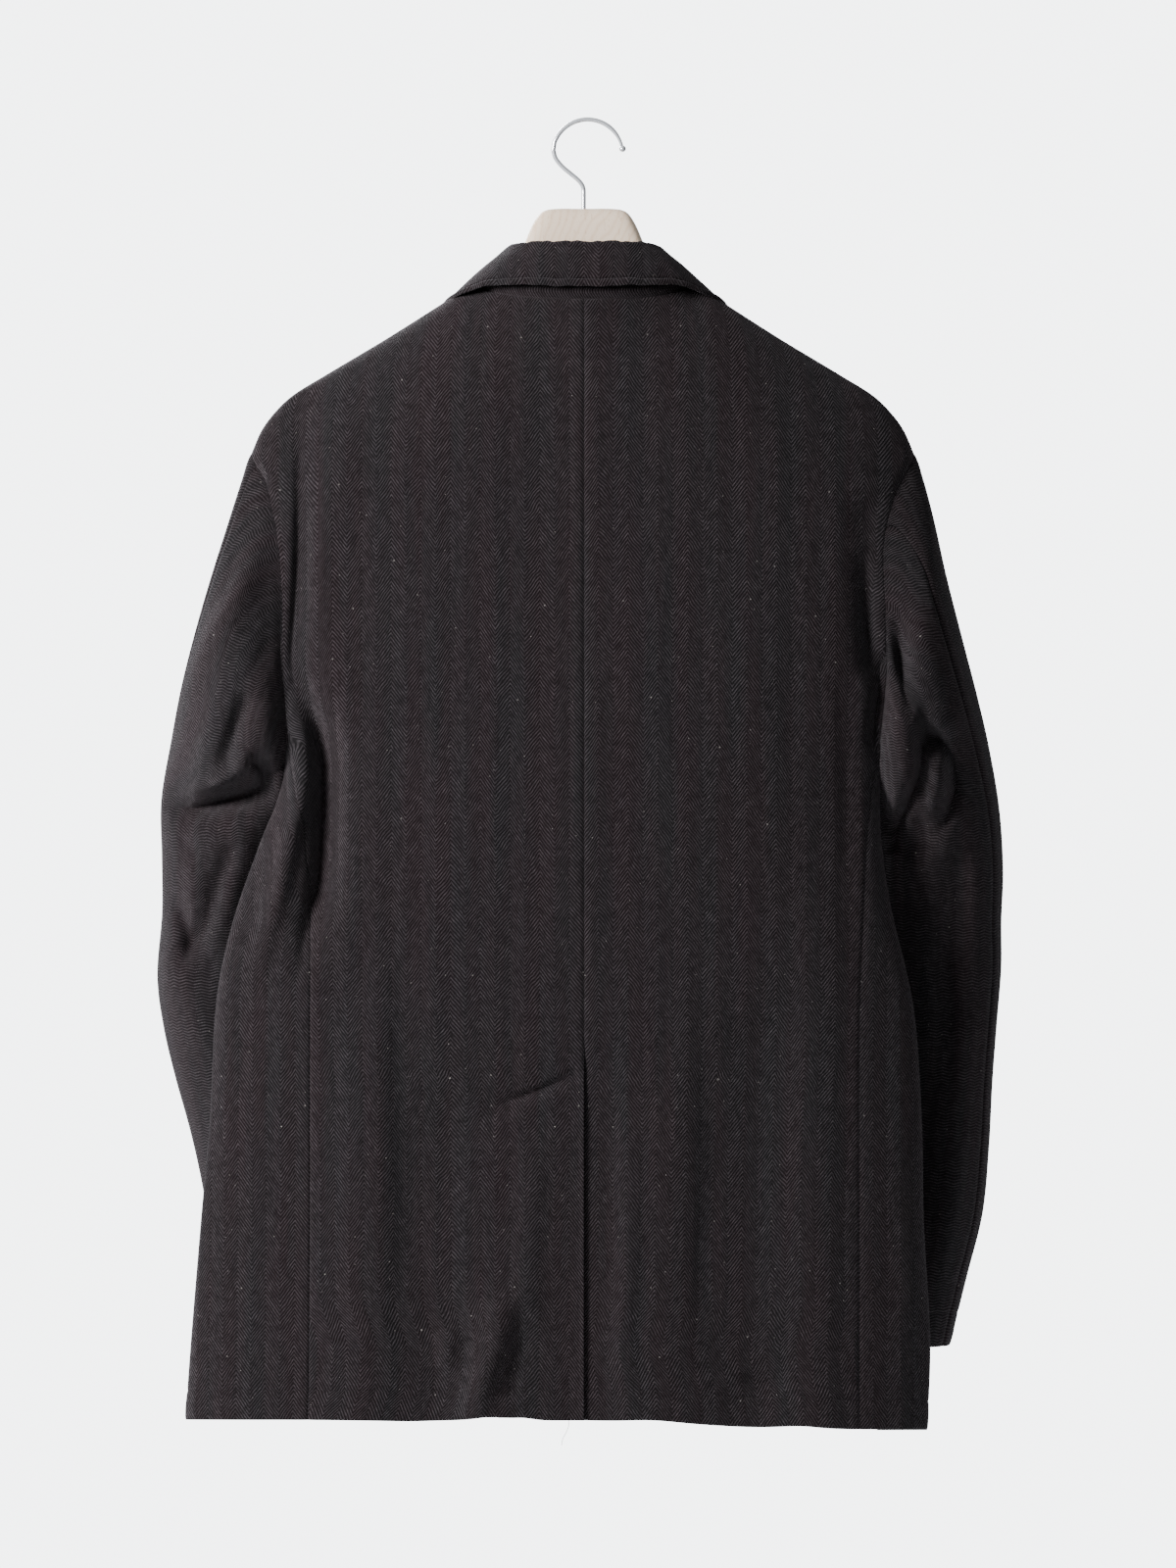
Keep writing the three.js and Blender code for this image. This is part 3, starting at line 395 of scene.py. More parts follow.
def noise(nodes, links, where, scale, detail=2.0, roughness=0.5, stretch=(1, 1, 1)):
    mapping = nodes.new("ShaderNodeMapping")
    mapping.inputs["Scale"].default_value = stretch
    links.new(where, mapping.inputs["Vector"])
    node = nodes.new("ShaderNodeTexNoise")
    node.inputs["Scale"].default_value = scale
    node.inputs["Detail"].default_value = detail
    node.inputs["Roughness"].default_value = roughness
    links.new(mapping.outputs[0], node.inputs["Vector"])
    return node.outputs["Fac"]


def objectPlace(nodes):
    return nodes.new("ShaderNodeTexCoord").outputs["Object"]


def bumpFrom(nodes, links, shader, height, strength, distance):
    bump = nodes.new("ShaderNodeBump")
    bump.inputs["Strength"].default_value = strength
    bump.inputs["Distance"].default_value = distance
    links.new(height, bump.inputs["Height"])
    links.new(bump.outputs[0], shader.inputs["Normal"])


weave = {
    "body": {"period": 0.0206, "steep": 1.4, "rowPitch": 0.0030, "wander": 0.0010, "floatLong": 0.0042},
    "sleeve": {"period": 0.0110, "steep": 0.24, "rowPitch": 0.0021, "wander": 0.0008, "floatLong": 0.0019},
    "band": {"period": 0.0020, "steep": 0.05, "rowPitch": 0.0019, "wander": 0.0004, "floatLong": 0.0030},
    "floatWide": 0.0007,    # width of one float of yarn
    "dark": (0.0034, 0.0026, 0.0032),
    "light": (0.118, 0.102, 0.112),
    "wine": (0.056, 0.030, 0.031),
    "moss": (0.032, 0.036, 0.034),
    "shadedColumnLevel": 0.80,    # painted shade: colour level of every second column, whose yarns lean the other way, darkened as if it caught less light
    "lint": (0.30, 0.28, 0.26),
}


def makeHerringbone(name, kind, turned=False):
    # c = v - fold(u) * steep gives lines that lean one way in a column and the other way in the next, and
    # a = v + fold(u) / steep runs along them; the yarn is light where sin(2 pi c / pitch) is high, broken
    # into floats by a noise that is long along a and short along c
    made, nodes, links, shader = newMaterial(name)
    size = weave[kind]
    uv = nodes.new("ShaderNodeUVMap")
    uv.uv_map = "weave"
    wobble = noise(nodes, links, uv.outputs[0], 70, 2.0)
    parts = nodes.new("ShaderNodeSeparateXYZ")
    links.new(uv.outputs[0], parts.inputs[0])
    alongU, alongV = (parts.outputs[1], parts.outputs[0]) if turned else (parts.outputs[0], parts.outputs[1])
    shift = mathNode(nodes, links, "MULTIPLY_ADD", wobble, 2 * size["wander"], -size["wander"])
    across = mathNode(nodes, links, "ADD", alongU, shift)
    column = mathNode(nodes, links, "PINGPONG", across, size["period"] / 2)
    lean = mathNode(nodes, links, "MULTIPLY", column, size["steep"])
    lineAt = mathNode(nodes, links, "ADD", mathNode(nodes, links, "SUBTRACT", alongV, lean), shift)
    lengthAt = mathNode(nodes, links, "ADD", alongV,
                        mathNode(nodes, links, "MULTIPLY", column, 1 / size["steep"]))
    columnNumber = mathNode(nodes, links, "FLOOR",
                            mathNode(nodes, links, "DIVIDE", across, size["period"] / 2))
    wave = mathNode(nodes, links, "SINE",
                    mathNode(nodes, links, "MULTIPLY", lineAt, 2 * math.pi / size["rowPitch"]))
    twill = mathNode(nodes, links, "MULTIPLY_ADD", wave, 0.5, 0.5)
    place = nodes.new("ShaderNodeCombineXYZ")
    links.new(mathNode(nodes, links, "MULTIPLY", lineAt, 1 / weave["floatWide"]), place.inputs[0])
    links.new(mathNode(nodes, links, "MULTIPLY", lengthAt, 1 / size["floatLong"]), place.inputs[1])
    links.new(mathNode(nodes, links, "MULTIPLY", columnNumber, 3.7), place.inputs[2])
    floats = noise(nodes, links, place.outputs[0], 1.0, 1.5, 0.6)
    floats = mathNode(nodes, links, "MULTIPLY_ADD", floats, 2.4, -0.55)
    slub = noise(nodes, links, uv.outputs[0], 190, 3.0, 0.65, (1, 0.7, 1))
    patch = mathNode(nodes, links, "MULTIPLY_ADD", slub, 1.5, -0.15)
    yarn = mathNode(nodes, links, "MULTIPLY", mathNode(nodes, links, "POWER", twill, 1.6), floats)
    yarn = mathNode(nodes, links, "MULTIPLY", yarn, patch)
    yarn = mathNode(nodes, links, "MINIMUM", mathNode(nodes, links, "MAXIMUM", yarn, 0.0), 1.0)
    # painted shade: the columns that lean the other way are darkened in the colour itself, standing in for
    # the light they catch less of
    everySecond = mathNode(nodes, links, "FLOORED_MODULO", columnNumber, 2.0)
    paintedColumnShade = mathNode(nodes, links, "MULTIPLY_ADD", everySecond, weave["shadedColumnLevel"] - 1, 1.0)
    yarn = mathNode(nodes, links, "MULTIPLY", yarn, paintedColumnShade)
    zones = noise(nodes, links, uv.outputs[0], 40, 3.0, 0.6, (0.08, 1, 1) if turned else (1, 0.08, 1))
    tint = nodes.new("ShaderNodeValToRGB")
    tint.color_ramp.elements[0].position = 0.40
    tint.color_ramp.elements[1].position = 0.62
    tint.color_ramp.elements[0].color = (*weave["wine"], 1)
    tint.color_ramp.elements[1].color = (*weave["moss"], 1)
    links.new(zones, tint.inputs[0])
    lightYarn = mixColour(nodes, links, 0.30, weave["light"], tint.outputs[0])
    ground = mixColour(nodes, links, 0.08, weave["dark"], tint.outputs[0])
    colour = mixColour(nodes, links, yarn, ground, lightYarn)
    specks = noise(nodes, links, uv.outputs[0], 420, 0.0, 0.5)
    rare = mathNode(nodes, links, "GREATER_THAN", specks, 0.865)
    colour = mixColour(nodes, links, mathNode(nodes, links, "MULTIPLY", rare, 0.5), colour, weave["lint"])
    links.new(colour, shader.inputs["Base Color"])
    shader.inputs["Roughness"].default_value = 0.9
    shader.inputs["Specular IOR Level"].default_value = 0.06
    shader.inputs["Sheen Weight"].default_value = 0.12
    shader.inputs["Sheen Roughness"].default_value = 0.5
    shader.inputs["Sheen Tint"].default_value = (0.72, 0.66, 0.70, 1)
    fuzz = noise(nodes, links, uv.outputs[0], 1400, 2.0, 0.7)
    relief = mathNode(nodes, links, "MULTIPLY_ADD", twill, 0.8, mathNode(nodes, links, "MULTIPLY", fuzz, 0.7))
    relief = mathNode(nodes, links, "ADD", relief, yarn)
    bumpFrom(nodes, links, shader, relief, 0.85, 0.0005)
    return made


bodyWool = makeHerringbone("herringboneWool", "body")
sleeveWool = makeHerringbone("sleeveHerringbone", "sleeve")
bandWool = makeHerringbone("neckBandWool", "band", turned=True)


def makeThread():
    # dark sewing thread: fine slanting plies along it
    made, nodes, links, shader = newMaterial("sewingThread")
    ply = noise(nodes, links, objectPlace(nodes), 2600, 1.0, 0.5, (1, 1, 0.5))
    links.new(mixColour(nodes, links, ply, (0.004, 0.003, 0.004), (0.034, 0.029, 0.031)),
              shader.inputs["Base Color"])
    shader.inputs["Roughness"].default_value = 0.62
    bumpFrom(nodes, links, shader, ply, 0.4, 0.0002)
    return made


beechWood = {
    "heart": (-0.052, -0.128),          # x and z of the line that the growth rings go round
    "flatten": 0.62,
    "ringPitch": 0.0042,
    "pale": (0.96, 0.73, 0.53),
    "cream": (0.99, 0.84, 0.66),
    "ring": (0.72, 0.45, 0.28),
    "fleck": (0.58, 0.35, 0.21),
}


def makeBeech():
    # growth rings round a line behind the block, bent by noise, and the short flecks that beech has
    made, nodes, links, shader = newMaterial("paleBeech")
    place = objectPlace(nodes)
    bend = noise(nodes, links, place, 16, 3.0, 0.55, (1, 1, 0.6))
    parts = nodes.new("ShaderNodeSeparateXYZ")
    links.new(place, parts.inputs[0])
    heartX, heartZ = beechWood["heart"]
    aside = mathNode(nodes, links, "ADD", parts.outputs[0], -heartX)
    down = mathNode(nodes, links, "MULTIPLY", mathNode(nodes, links, "ADD", parts.outputs[2], -heartZ),
                    beechWood["flatten"])
    square = mathNode(nodes, links, "ADD", mathNode(nodes, links, "MULTIPLY", aside, aside),
                      mathNode(nodes, links, "MULTIPLY", down, down))
    ringAt = mathNode(nodes, links, "MULTIPLY_ADD", bend, 0.034, mathNode(nodes, links, "SQRT", square))
    ring = mathNode(nodes, links, "SINE",
                    mathNode(nodes, links, "MULTIPLY", ringAt, 2 * math.pi / beechWood["ringPitch"]))
    ring = mathNode(nodes, links, "MULTIPLY_ADD", ring, 0.5, 0.5)
    ring = mathNode(nodes, links, "POWER", ring, 3.0)
    fleck = noise(nodes, links, place, 620, 2.0, 0.6, (1, 1, 0.16))
    fleck = mathNode(nodes, links, "GREATER_THAN", fleck, 0.63)
    broad = noise(nodes, links, place, 22, 2.0, 0.5, (1, 1, 0.4))
    colour = mixColour(nodes, links, broad, beechWood["pale"], beechWood["cream"])
    for mark, share, paint in ((ring, 0.30, beechWood["ring"]), (fleck, 0.34, beechWood["fleck"])):
        colour = mixColour(nodes, links, mathNode(nodes, links, "MULTIPLY", mark, share), colour, paint)
    links.new(colour, shader.inputs["Base Color"])
    shader.inputs["Roughness"].default_value = 0.5
    shader.inputs["Specular IOR Level"].default_value = 0.25
    bumpFrom(nodes, links, shader, mathNode(nodes, links, "ADD", ring, fleck), 0.2, 0.0001)
    return made


def makeChrome():
    # polished wire: faint drawing marks and a thin haze in the gloss
    made, nodes, links, shader = newMaterial("brightChrome")
    haze = noise(nodes, links, objectPlace(nodes), 240, 3.0, 0.6)
    links.new(mixColour(nodes, links, haze, (0.70, 0.71, 0.74), (0.86, 0.87, 0.90)),
              shader.inputs["Base Color"])
    links.new(mathNode(nodes, links, "MULTIPLY_ADD", haze, 0.10, 0.14), shader.inputs["Roughness"])
    shader.inputs["Metallic"].default_value = 1.0
    return made


def makeHorn():
    # dark polished horn: cloudy streaks that run across the button
    made, nodes, links, shader = newMaterial("darkHorn")
    place = objectPlace(nodes)
    streak = noise(nodes, links, place, 90, 4.0, 0.6, (0.5, 1, 2.4))
    colour = mixColour(nodes, links, streak, (0.008, 0.006, 0.005), (0.070, 0.046, 0.032))
    links.new(colour, shader.inputs["Base Color"])
    links.new(mathNode(nodes, links, "MULTIPLY_ADD", streak, 0.2, 0.22), shader.inputs["Roughness"])
    bumpFrom(nodes, links, shader, noise(nodes, links, place, 1200, 2.0), 0.08, 0.0001)
    return made


thread = makeThread()
beech = makeBeech()
chrome = makeChrome()
horn = makeHorn()


# Cloth pieces.
def gridMesh(name, points, uv=None, material=None):
    # a sheet of quads over a grid of places in millimetres, rows by columns, with its map in metres
    rows, columns = points.shape[:2]
    numbers = np.arange(rows * columns).reshape(rows, columns)
    corners = np.stack([numbers[:-1, :-1], numbers[:-1, 1:], numbers[1:, 1:], numbers[1:, :-1]], axis=-1)
    corners = corners.reshape(-1, 4)
    mesh = bpy.data.meshes.new(name)
    mesh.vertices.add(rows * columns)
    mesh.vertices.foreach_set("co", (points * 0.001).astype(np.float32).ravel())
    mesh.loops.add(corners.size)
    mesh.loops.foreach_set("vertex_index", corners.ravel().astype(np.int32))
    mesh.polygons.add(len(corners))
    mesh.polygons.foreach_set("loop_start", np.arange(0, corners.size, 4, dtype=np.int32))
    mesh.polygons.foreach_set("use_smooth", np.ones(len(corners), dtype=bool))
    if uv is not None:
        layer = mesh.uv_layers.new(name="weave")
        flat = uv.reshape(-1, 2)[corners.ravel()] * 0.001
        layer.data.foreach_set("uv", flat.astype(np.float32).ravel())
    mesh.update(calc_edges=True)
    mesh.validate()
    piece = bpy.data.objects.new(name, mesh)
    bpy.context.scene.collection.objects.link(piece)
    if material:
        mesh.materials.append(material)
    return piece


def lengthsAlong(points, axis):
    # running length over a grid of places, along its rows (axis 0) or its columns (axis 1)
    steps = np.linalg.norm(np.diff(points, axis=axis), axis=-1)
    pad = [(0, 0), (0, 0)]
    pad[axis] = (1, 0)
    return np.pad(np.cumsum(steps, axis=axis), pad)


def clothMap(points, anchor=0):
    # u: running length across, from the anchor column. v: running length up from the first row
    across = lengthsAlong(points, 1)
    return np.stack([across - across[:, anchor:anchor + 1], lengthsAlong(points, 0)], axis=-1)


def makeCloth(name, points, uv, node, material=bodyWool):
    # a sheet of quads on the cloth's middle surface, given its wall
    piece = gridMesh("wool_" + name, points, uv, material)
    wall = piece.modifiers.new("wall", "SOLIDIFY")
    wall.thickness = trunk["wall"] * 0.001
    wall.offset = 0
    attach(piece, "root")
    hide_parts(node)


def smallMesh(name, places, faces, material, nodes=()):
    # a piece from places in millimetres and lists of corners, which stands for the nodes named, if any
    mesh = bpy.data.meshes.new(name)
    mesh.from_pydata((places * 0.001).tolist(), [], faces)
    mesh.polygons.foreach_set("use_smooth", np.ones(len(mesh.polygons), dtype=bool))
    mesh.materials.append(material)
    mesh.update()
    piece = bpy.data.objects.new(name, mesh)
    bpy.context.scene.collection.objects.link(piece)
    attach(piece, "root")
    if nodes:
        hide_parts(*nodes)


def ringFaces(rings, around, first=0):
    # quads between closed rings of corners, and one face over each end
    numbers = first + np.arange(rings * around).reshape(rings, around)
    following = np.roll(numbers, -1, axis=1)
    quads = np.stack([numbers[:-1], following[:-1], following[1:], numbers[1:]], axis=-1).reshape(-1, 4)
    return quads.tolist() + [numbers[0][::-1].tolist(), numbers[-1].tolist()]


def tubePlaces(path, radius, around, aside):
    # a circle of `radius` carried along the path, square to it, starting from the direction `aside`
    ahead = unit(np.gradient(path, axis=0))
    first = unit(np.cross(ahead, np.broadcast_to(aside, ahead.shape)))
    second = np.cross(ahead, first)
    turn = np.linspace(0, 2 * np.pi, around, endpoint=False)[None, :, None]
    reach = np.broadcast_to(radius, (len(path),))[:, None, None]
    return path[:, None] + reach * (np.cos(turn) * first[:, None] + np.sin(turn) * second[:, None])


sewing = {
    "long": 2.5,            # one stitch
    "step": 3.4,            # from one stitch to the next
    "thick": 0.21,          # radius of the thread
    "sides": 6,
}
stitchLines = []


def sew(line, outside):
    # keeps a line of stitches: places on the cloth's face, and the way out of it at each
    stitchLines.append((np.asarray(line), unit(np.asarray(outside))))


def stitchesAlong(line, outside):
    # each stitch is a small spindle, radius * (1 - 0.82 (2t)^4) round its length t, and its ends sink into
    # the cloth with 1.3 t^2
    run = np.concatenate([[0], np.cumsum(np.linalg.norm(np.diff(line, axis=0), axis=1))])
    middles = np.arange(sewing["step"], run[-1] - sewing["step"], sewing["step"])
    at = lambda where, values: np.stack([np.interp(where, run, values[:, k]) for k in range(3)], axis=-1)
    centre, out = at(middles, line), unit(at(middles, outside))
    ahead = unit(at(middles + 1, line) - at(middles - 1, line))
    beside = np.cross(out, ahead)
    t = np.array([-0.5, -0.36, 0, 0.36, 0.5])
    swell = 1 - 0.82 * (2 * np.abs(t)) ** 4
    turn = np.linspace(0, 2 * np.pi, sewing["sides"], endpoint=False)
    places = (centre[:, None, None] + ahead[:, None, None] * (t * sewing["long"])[None, :, None, None]
              - out[:, None, None] * (1.3 * t * t)[None, :, None, None]
              + sewing["thick"] * swell[None, :, None, None]
              * (np.cos(turn)[None, None, :, None] * out[:, None, None]
                 + np.sin(turn)[None, None, :, None] * beside[:, None, None]))
    return places


def makeStitches():
    places, faces, first = [], [], 0
    for line, outside in stitchLines:
        each = stitchesAlong(line, outside)
        for stitch in each:
            faces += ringFaces(stitch.shape[0], stitch.shape[1], first)
            first += stitch.shape[0] * stitch.shape[1]
        places.append(each.reshape(-1, 3))
    smallMesh("edge_stitching", np.concatenate(places), faces, thread)


def crowded(count, edge):
    # shares from 0 to 1, closer together at both ends: t - edge * sin(2 pi t) / (2 pi)
    t = np.linspace(0, 1, count + 1)
    return t - edge * np.sin(2 * np.pi * t) / (2 * np.pi)


backs = {
    "ventTop": -660,
    "ventSlope": 21,        # how far the underlap's upper edge slants down
    "underlap": 58,
    "ventLayer": 2.6,       # how far the underlap lies inside
    "columns": 84,
    "rows": 280,
    "stitchUp": 20,         # hem stitching above the hem
}

# Rows of the grid that backs and fronts are worked out on, counted from the hem, and heights they keep.
panelGrid = {
    "underlapRow": 7,
    "ventRow": 8,
    "waistRow": 11,
    "eavesRow": 18,
    "topRow": 27,
    "waist": -560,
}


def rowHeight(v, hem, ridge, topTurn):
    # level rows up to the waist, even ones to the eaves, then even turns of a circle up to topTurn
    underlap, vent, waist, eaves, top = (panelGrid[name + "Row"]
                                         for name in ("underlap", "vent", "waist", "eaves", "top"))
    row = v * top
    turn = mix(np.pi / 2, topTurn, (row - eaves) / (top - eaves))
    ventTop, ventFoot = backs["ventTop"], backs["ventTop"] - backs["ventSlope"]
    return np.select(
        [row < underlap, row < vent, row < waist, row < eaves],
        [mix(hem, ventFoot, row / underlap), mix(ventFoot, ventTop, row - underlap),
         mix(ventTop, panelGrid["waist"], (row - vent) / (waist - vent)),
         mix(panelGrid["waist"], ridge - trunk["roof"], (row - waist) / (eaves - waist))],
        ridge - trunk["roof"] * (1 - np.cos(turn)))


def panelPlaces(side, inner, outer, hem, topEdge, us, vs):
    # x runs between two edges that change with height, and z follows from x, so both are settled in turn
    u, v = np.meshgrid(us, vs)
    z = mix(trunk["hem"], -160, v)
    for _ in range(12):
        x = mix(inner(z), outer(z), u)
        edge = readTable(trunk[side], "z", np.maximum(z, trunk["armholeFoot"]), topEdge[1])
        ridge = readTable(trunk["shoulder"], "out", np.clip(x / edge, 0, 1), "z")
        top = np.minimum(ridge, topEdge[0](x))
        z = rowHeight(v, hem(side * x), ridge, np.arccos(1 - (ridge - top) / trunk["roof"]))
    return side * x, z


def trunkMap(side, x, points):
    # u: length over the cloth from the centre line. v: height over the cloth from the hem
    flatAcross = points * np.array([1, 1, 0])
    flatUp = points * np.array([0, 1, 1])
    u = lengthsAlong(flatAcross, 1) + side * x[:, :1]
    return np.stack([u, lengthsAlong(flatUp, 0)], axis=-1)


def neckSeam(x):
    return np.where(x < trunk["neckReach"],
                    trunk["neckLow"] + trunk["neckRise"] * (x / trunk["neckReach"]) ** 2, 0)


def panelRows(count):
    # more rows in the bottom 30 mm, for the hem's edge and stitching
    return stretches((0, 0.036, 31), (0.036, 1, count))


def seamRoll(distance):
    # cloth turns in at a seam, and the seam allowance behind lifts it a little further in
    return -1.0 * bell(distance, 1.3) + 0.35 * bell(distance - 5.5, 3.5)


def hemWork(x, z, hem, seed):
    # a row of dimples where the hem is stitched, and a slightly full edge below it
    up = z - hem
    dimples = 0.75 + 0.25 * np.sin(x * 1.55 + np.sin(x * 0.11 + seed))
    return -0.7 * bell(up - backs["stitchUp"], 1.0) * dimples + 0.5 * bell(up - 9, 8) - 0.5 * bell(up, 1.0)


def hemStitches(side, start, end, surface, hem, outward, lift):
    # stitches along the hem's fold line, on the face of the cloth
    x = side * np.linspace(start, end, 120)
    z = hem(x) + backs["stitchUp"]
    height = trunk["wall"] / 2 - 0.55 + lift(x, z)
    sew(surface(x, z, height), np.broadcast_to([0, outward, 0], (len(x), 3)))


def backPanel(name, side, inner, dip):
    us = crowded(backs["columns"] + (10 if side == right else 0), 0.8)
    outer = lambda z: readTable(trunk[side], "z", z, "edge")
    x, z = panelPlaces(side, inner, outer, backHem, (neckSeam, "edge"), us, panelRows(backs["rows"]))
    aboveVent = smooth(z, backs["ventTop"] - 4, backs["ventTop"] + 10)
    middle = np.abs(x) - trunk["seamGap"] / 2
    border = outer(z) - np.abs(x)
    lift = ((seamRoll(middle) + pucker(middle, z, 1)) * aboveVent
            + seamRoll(border) + pucker(border, z, 2 + side))
    lift = lift + hemWork(x, z, backHem(x), 1 + side) - dip(x, z)
    if side == left:
        ventEdge = smooth(-z, -backs["ventTop"], 24 - backs["ventTop"]) * bell(middle, 2.2)
        lift = lift + 0.7 * ventEdge
    below = np.where(np.abs(x) < trunk["neckReach"], neckSeam(np.abs(x)) - z, 999)
    lift = lift + 1.5 * bell(below - 3, 9) - 2.6 * bell(below, 1.1)
    points = onBack(x, z, lift)
    hemStitches(side, 3, 189, onBack, backHem, 1, lambda x, z: -dip(x, z))
    makeCloth(name, points, trunkMap(side, x, points), name)


def underlapEdge(z):
    # from the centre seam out to the underlap's own edge, over the slant below the vent's top
    share = np.clip((backs["ventTop"] - z) / backs["ventSlope"], 0, 1)
    return mix(trunk["seamGap"] / 2, -backs["underlap"], share)


def ventDip(x, z):
    # the underlap lies inside the left back, and comes level with it above the vent
    return backs["ventLayer"] * smooth(x, -34, -13) * (1 - smooth(z, backs["ventTop"], backs["ventTop"] + 24))


backPanel("back_left", left, lambda z: trunk["seamGap"] / 2 + 0 * z, lambda x, z: 0)
backPanel("back_right", right, underlapEdge, ventDip)
print("backs ready")


def seamAngle(side, z, name):
    across = np.minimum(1, readTable(trunk[side], "z", z, name) / readTable(trunk[side], "z", z, "wide"))
    return np.arcsin(across ** (trunk["squareness"] / 2))


def roundHalf(side, angle, z, lift=0):
    # x = wide * sin(a)^(2/squareness), y = deep * |cos(a)| plus the folds of the back or the front
    x = side * readTable(trunk[side], "z", z, "wide") * np.sin(angle) ** (2 / trunk["squareness"])
    cosine = np.cos(angle)
    calm = smooth(np.abs(cosine), 0, 0.5)
    onTheBack = cosine >= 0
    deep = np.where(onTheBack, readTable(trunk["depth"], "z", z, "back"),
                    readTable(trunk["depth"], "z", z, "front")) * np.abs(cosine)
    back = foldHeight(backFolds, x, z) + creaseHeight(backCreases, x, z) + slack(x, z, 3)
    front = foldHeight(frontFolds, x, z) + creaseHeight(frontCreases, x, z) + slack(x, z, 5)
    y = deep + np.where(onTheBack, back, front) * calm
    out = np.stack([x * 0 + side * np.sin(angle), cosine, 0 * x], axis=-1)
    place = np.stack([x, np.where(onTheBack, 1, -1) * y, z], axis=-1)
    return place + out * np.asarray(lift)[..., None]


def sidePanel(name, side):
    # round the flank from the back's outer edge to the front's, evenly in the section's angle
    u, v = np.meshgrid(crowded(46, 0.7), stretches((0, 0.062, 25), (0.062, 1, 160)))
    top = trunk["armholeFoot"] - trunk["armholeScoop"] * np.sin(np.pi * u)
    backCorner, frontCorner = side * trunk[side]["edge"][0] + 0 * u, side * 215 + 0 * u
    hem = mix(backHem(backCorner), hemAt(frontCorner) - trunk["frontHem"], u)
    z = mix(hem, top, v)
    start = seamAngle(side, z, "edge")
    end = np.pi - seamAngle(side, z, "front")
    bare = roundHalf(side, mix(start, end, u), z)
    girth = lengthsAlong(bare, 1)
    step = trunk["seamGap"] / np.maximum(20, girth[:, -1:]) * (end - start)
    lift = seamRoll(girth) + seamRoll(girth[:, -1:] - girth) + hemWork(girth, z, hem, 4 + side)
    lift = lift + pucker(girth, z, 2 + side)
    angle = mix(start + step, end - step, u)
    points = roundHalf(side, angle, z, lift)
    line = roundHalf(side, angle[0], hem[0] + backs["stitchUp"], 0 * u[0] + trunk["wall"] / 2 - 0.55)
    sew(line, np.stack([side * np.sin(angle[0]), np.cos(angle[0]), 0 * u[0]], axis=-1))
    makeCloth(name, points, clothMap(points), name)


sidePanel("side_left", left)
sidePanel("side_right", right)
print("sides ready")

fronts = {
    "overlap": 60,
    "breakAt": -430,
    "lapInner": 64,
    "lapOuter": 92,
    "lapelAtRoll": 2.4,
    "lapelAtEdge": 3.7,
    "layer": 2.7,
    "gorge": -163,
    "peakRise": 25,
    "lapel": {"along": [0, 0.1, 0.3, 0.6, 0.85, 1], "wide": [2, 21, 50, 80, 97, 101]},
    "stitchIn": 6,          # stitching inside the edge
    "edgeStitchFoot": -880,
}


def stitchedEdge(distance):
    # a full edge, and the groove that the row of stitches draws inside it
    return 0.4 * bell(distance - 2.6, 1.8) - 0.6 * bell(distance - fronts["stitchIn"], 0.9)


def lapLift(x):
    # how far the left front lies outside the right one and its lapel
    return (fronts["lapelAtEdge"] + fronts["layer"]) * (1 - smooth(x, fronts["lapInner"], fronts["lapOuter"]))


def rollAt(z):
    # the roll line: straight from the front's edge at the break up to the neck end of the shoulder seam
    rise = readTable(trunk["shoulder"], "out", 0.32, "z") - fronts["breakAt"]
    return mix(-fronts["overlap"], trunk["neckReach"], (z - fronts["breakAt"]) / rise)


def frontPanel(name, side):
    inner = lambda z: np.where(z < fronts["breakAt"], -fronts["overlap"], rollAt(z))
    outer = lambda z: readTable(trunk[side], "z", z, "front")
    hem = lambda x: hemAt(x) - trunk["frontHem"]
    x, z = panelPlaces(side, inner, outer, hem, (lambda x: 0 * x, "front"), crowded(66, 0.7), panelRows(170))
    over = lapLift if side == left else (lambda x: 0 * x)
    own = side * x
    lift = over(x) + seamRoll(outer(z) - own) + hemWork(x, z, hem(x), 6 + side)
    edge = own - inner(z)
    below = 1 - smooth(z, fronts["breakAt"] - 12, fronts["breakAt"])
    lift = lift + stitchedEdge(edge) * below
    points = onFront(x, z, lift)
    face = trunk["wall"] / 2 - 0.45
    hemStitches(side, 3 - fronts["overlap"], 200, onFront, hem, -1, lambda x, z: over(x))
    edgeZ = np.linspace(fronts["edgeStitchFoot"], fronts["breakAt"] - 8, 200)
    edgeX = side * (fronts["stitchIn"] - fronts["overlap"]) + 0 * edgeZ
    sew(onFront(edgeX, edgeZ, over(edgeX) + face), np.broadcast_to([0, -1, 0], (len(edgeZ), 3)))
    makeCloth(name, points, trunkMap(side, x, points), name)


def lapelPlace(side, u, v, height):
    # out from the roll line at right angles to it, rising to a peak at the corner
    rollZ = mix(fronts["breakAt"] + 4, fronts["gorge"], v)
    rollX = rollAt(rollZ)
    steep = math.atan2(trunk["neckReach"] + fronts["overlap"],
                       readTable(trunk["shoulder"], "out", 0.32, "z") - fronts["breakAt"])
    wide = readTable(fronts["lapel"], "along", v, "wide")
    rise = fronts["peakRise"] * smooth(u, 0.45, 1) * smooth(v, 0.7, 1)
    x = rollX + wide * u * np.cos(steep)
    z = rollZ - wide * u * np.sin(steep) + rise
    under = lapLift(x) if side == left else 0
    return onFront(side * x, z, under + height)


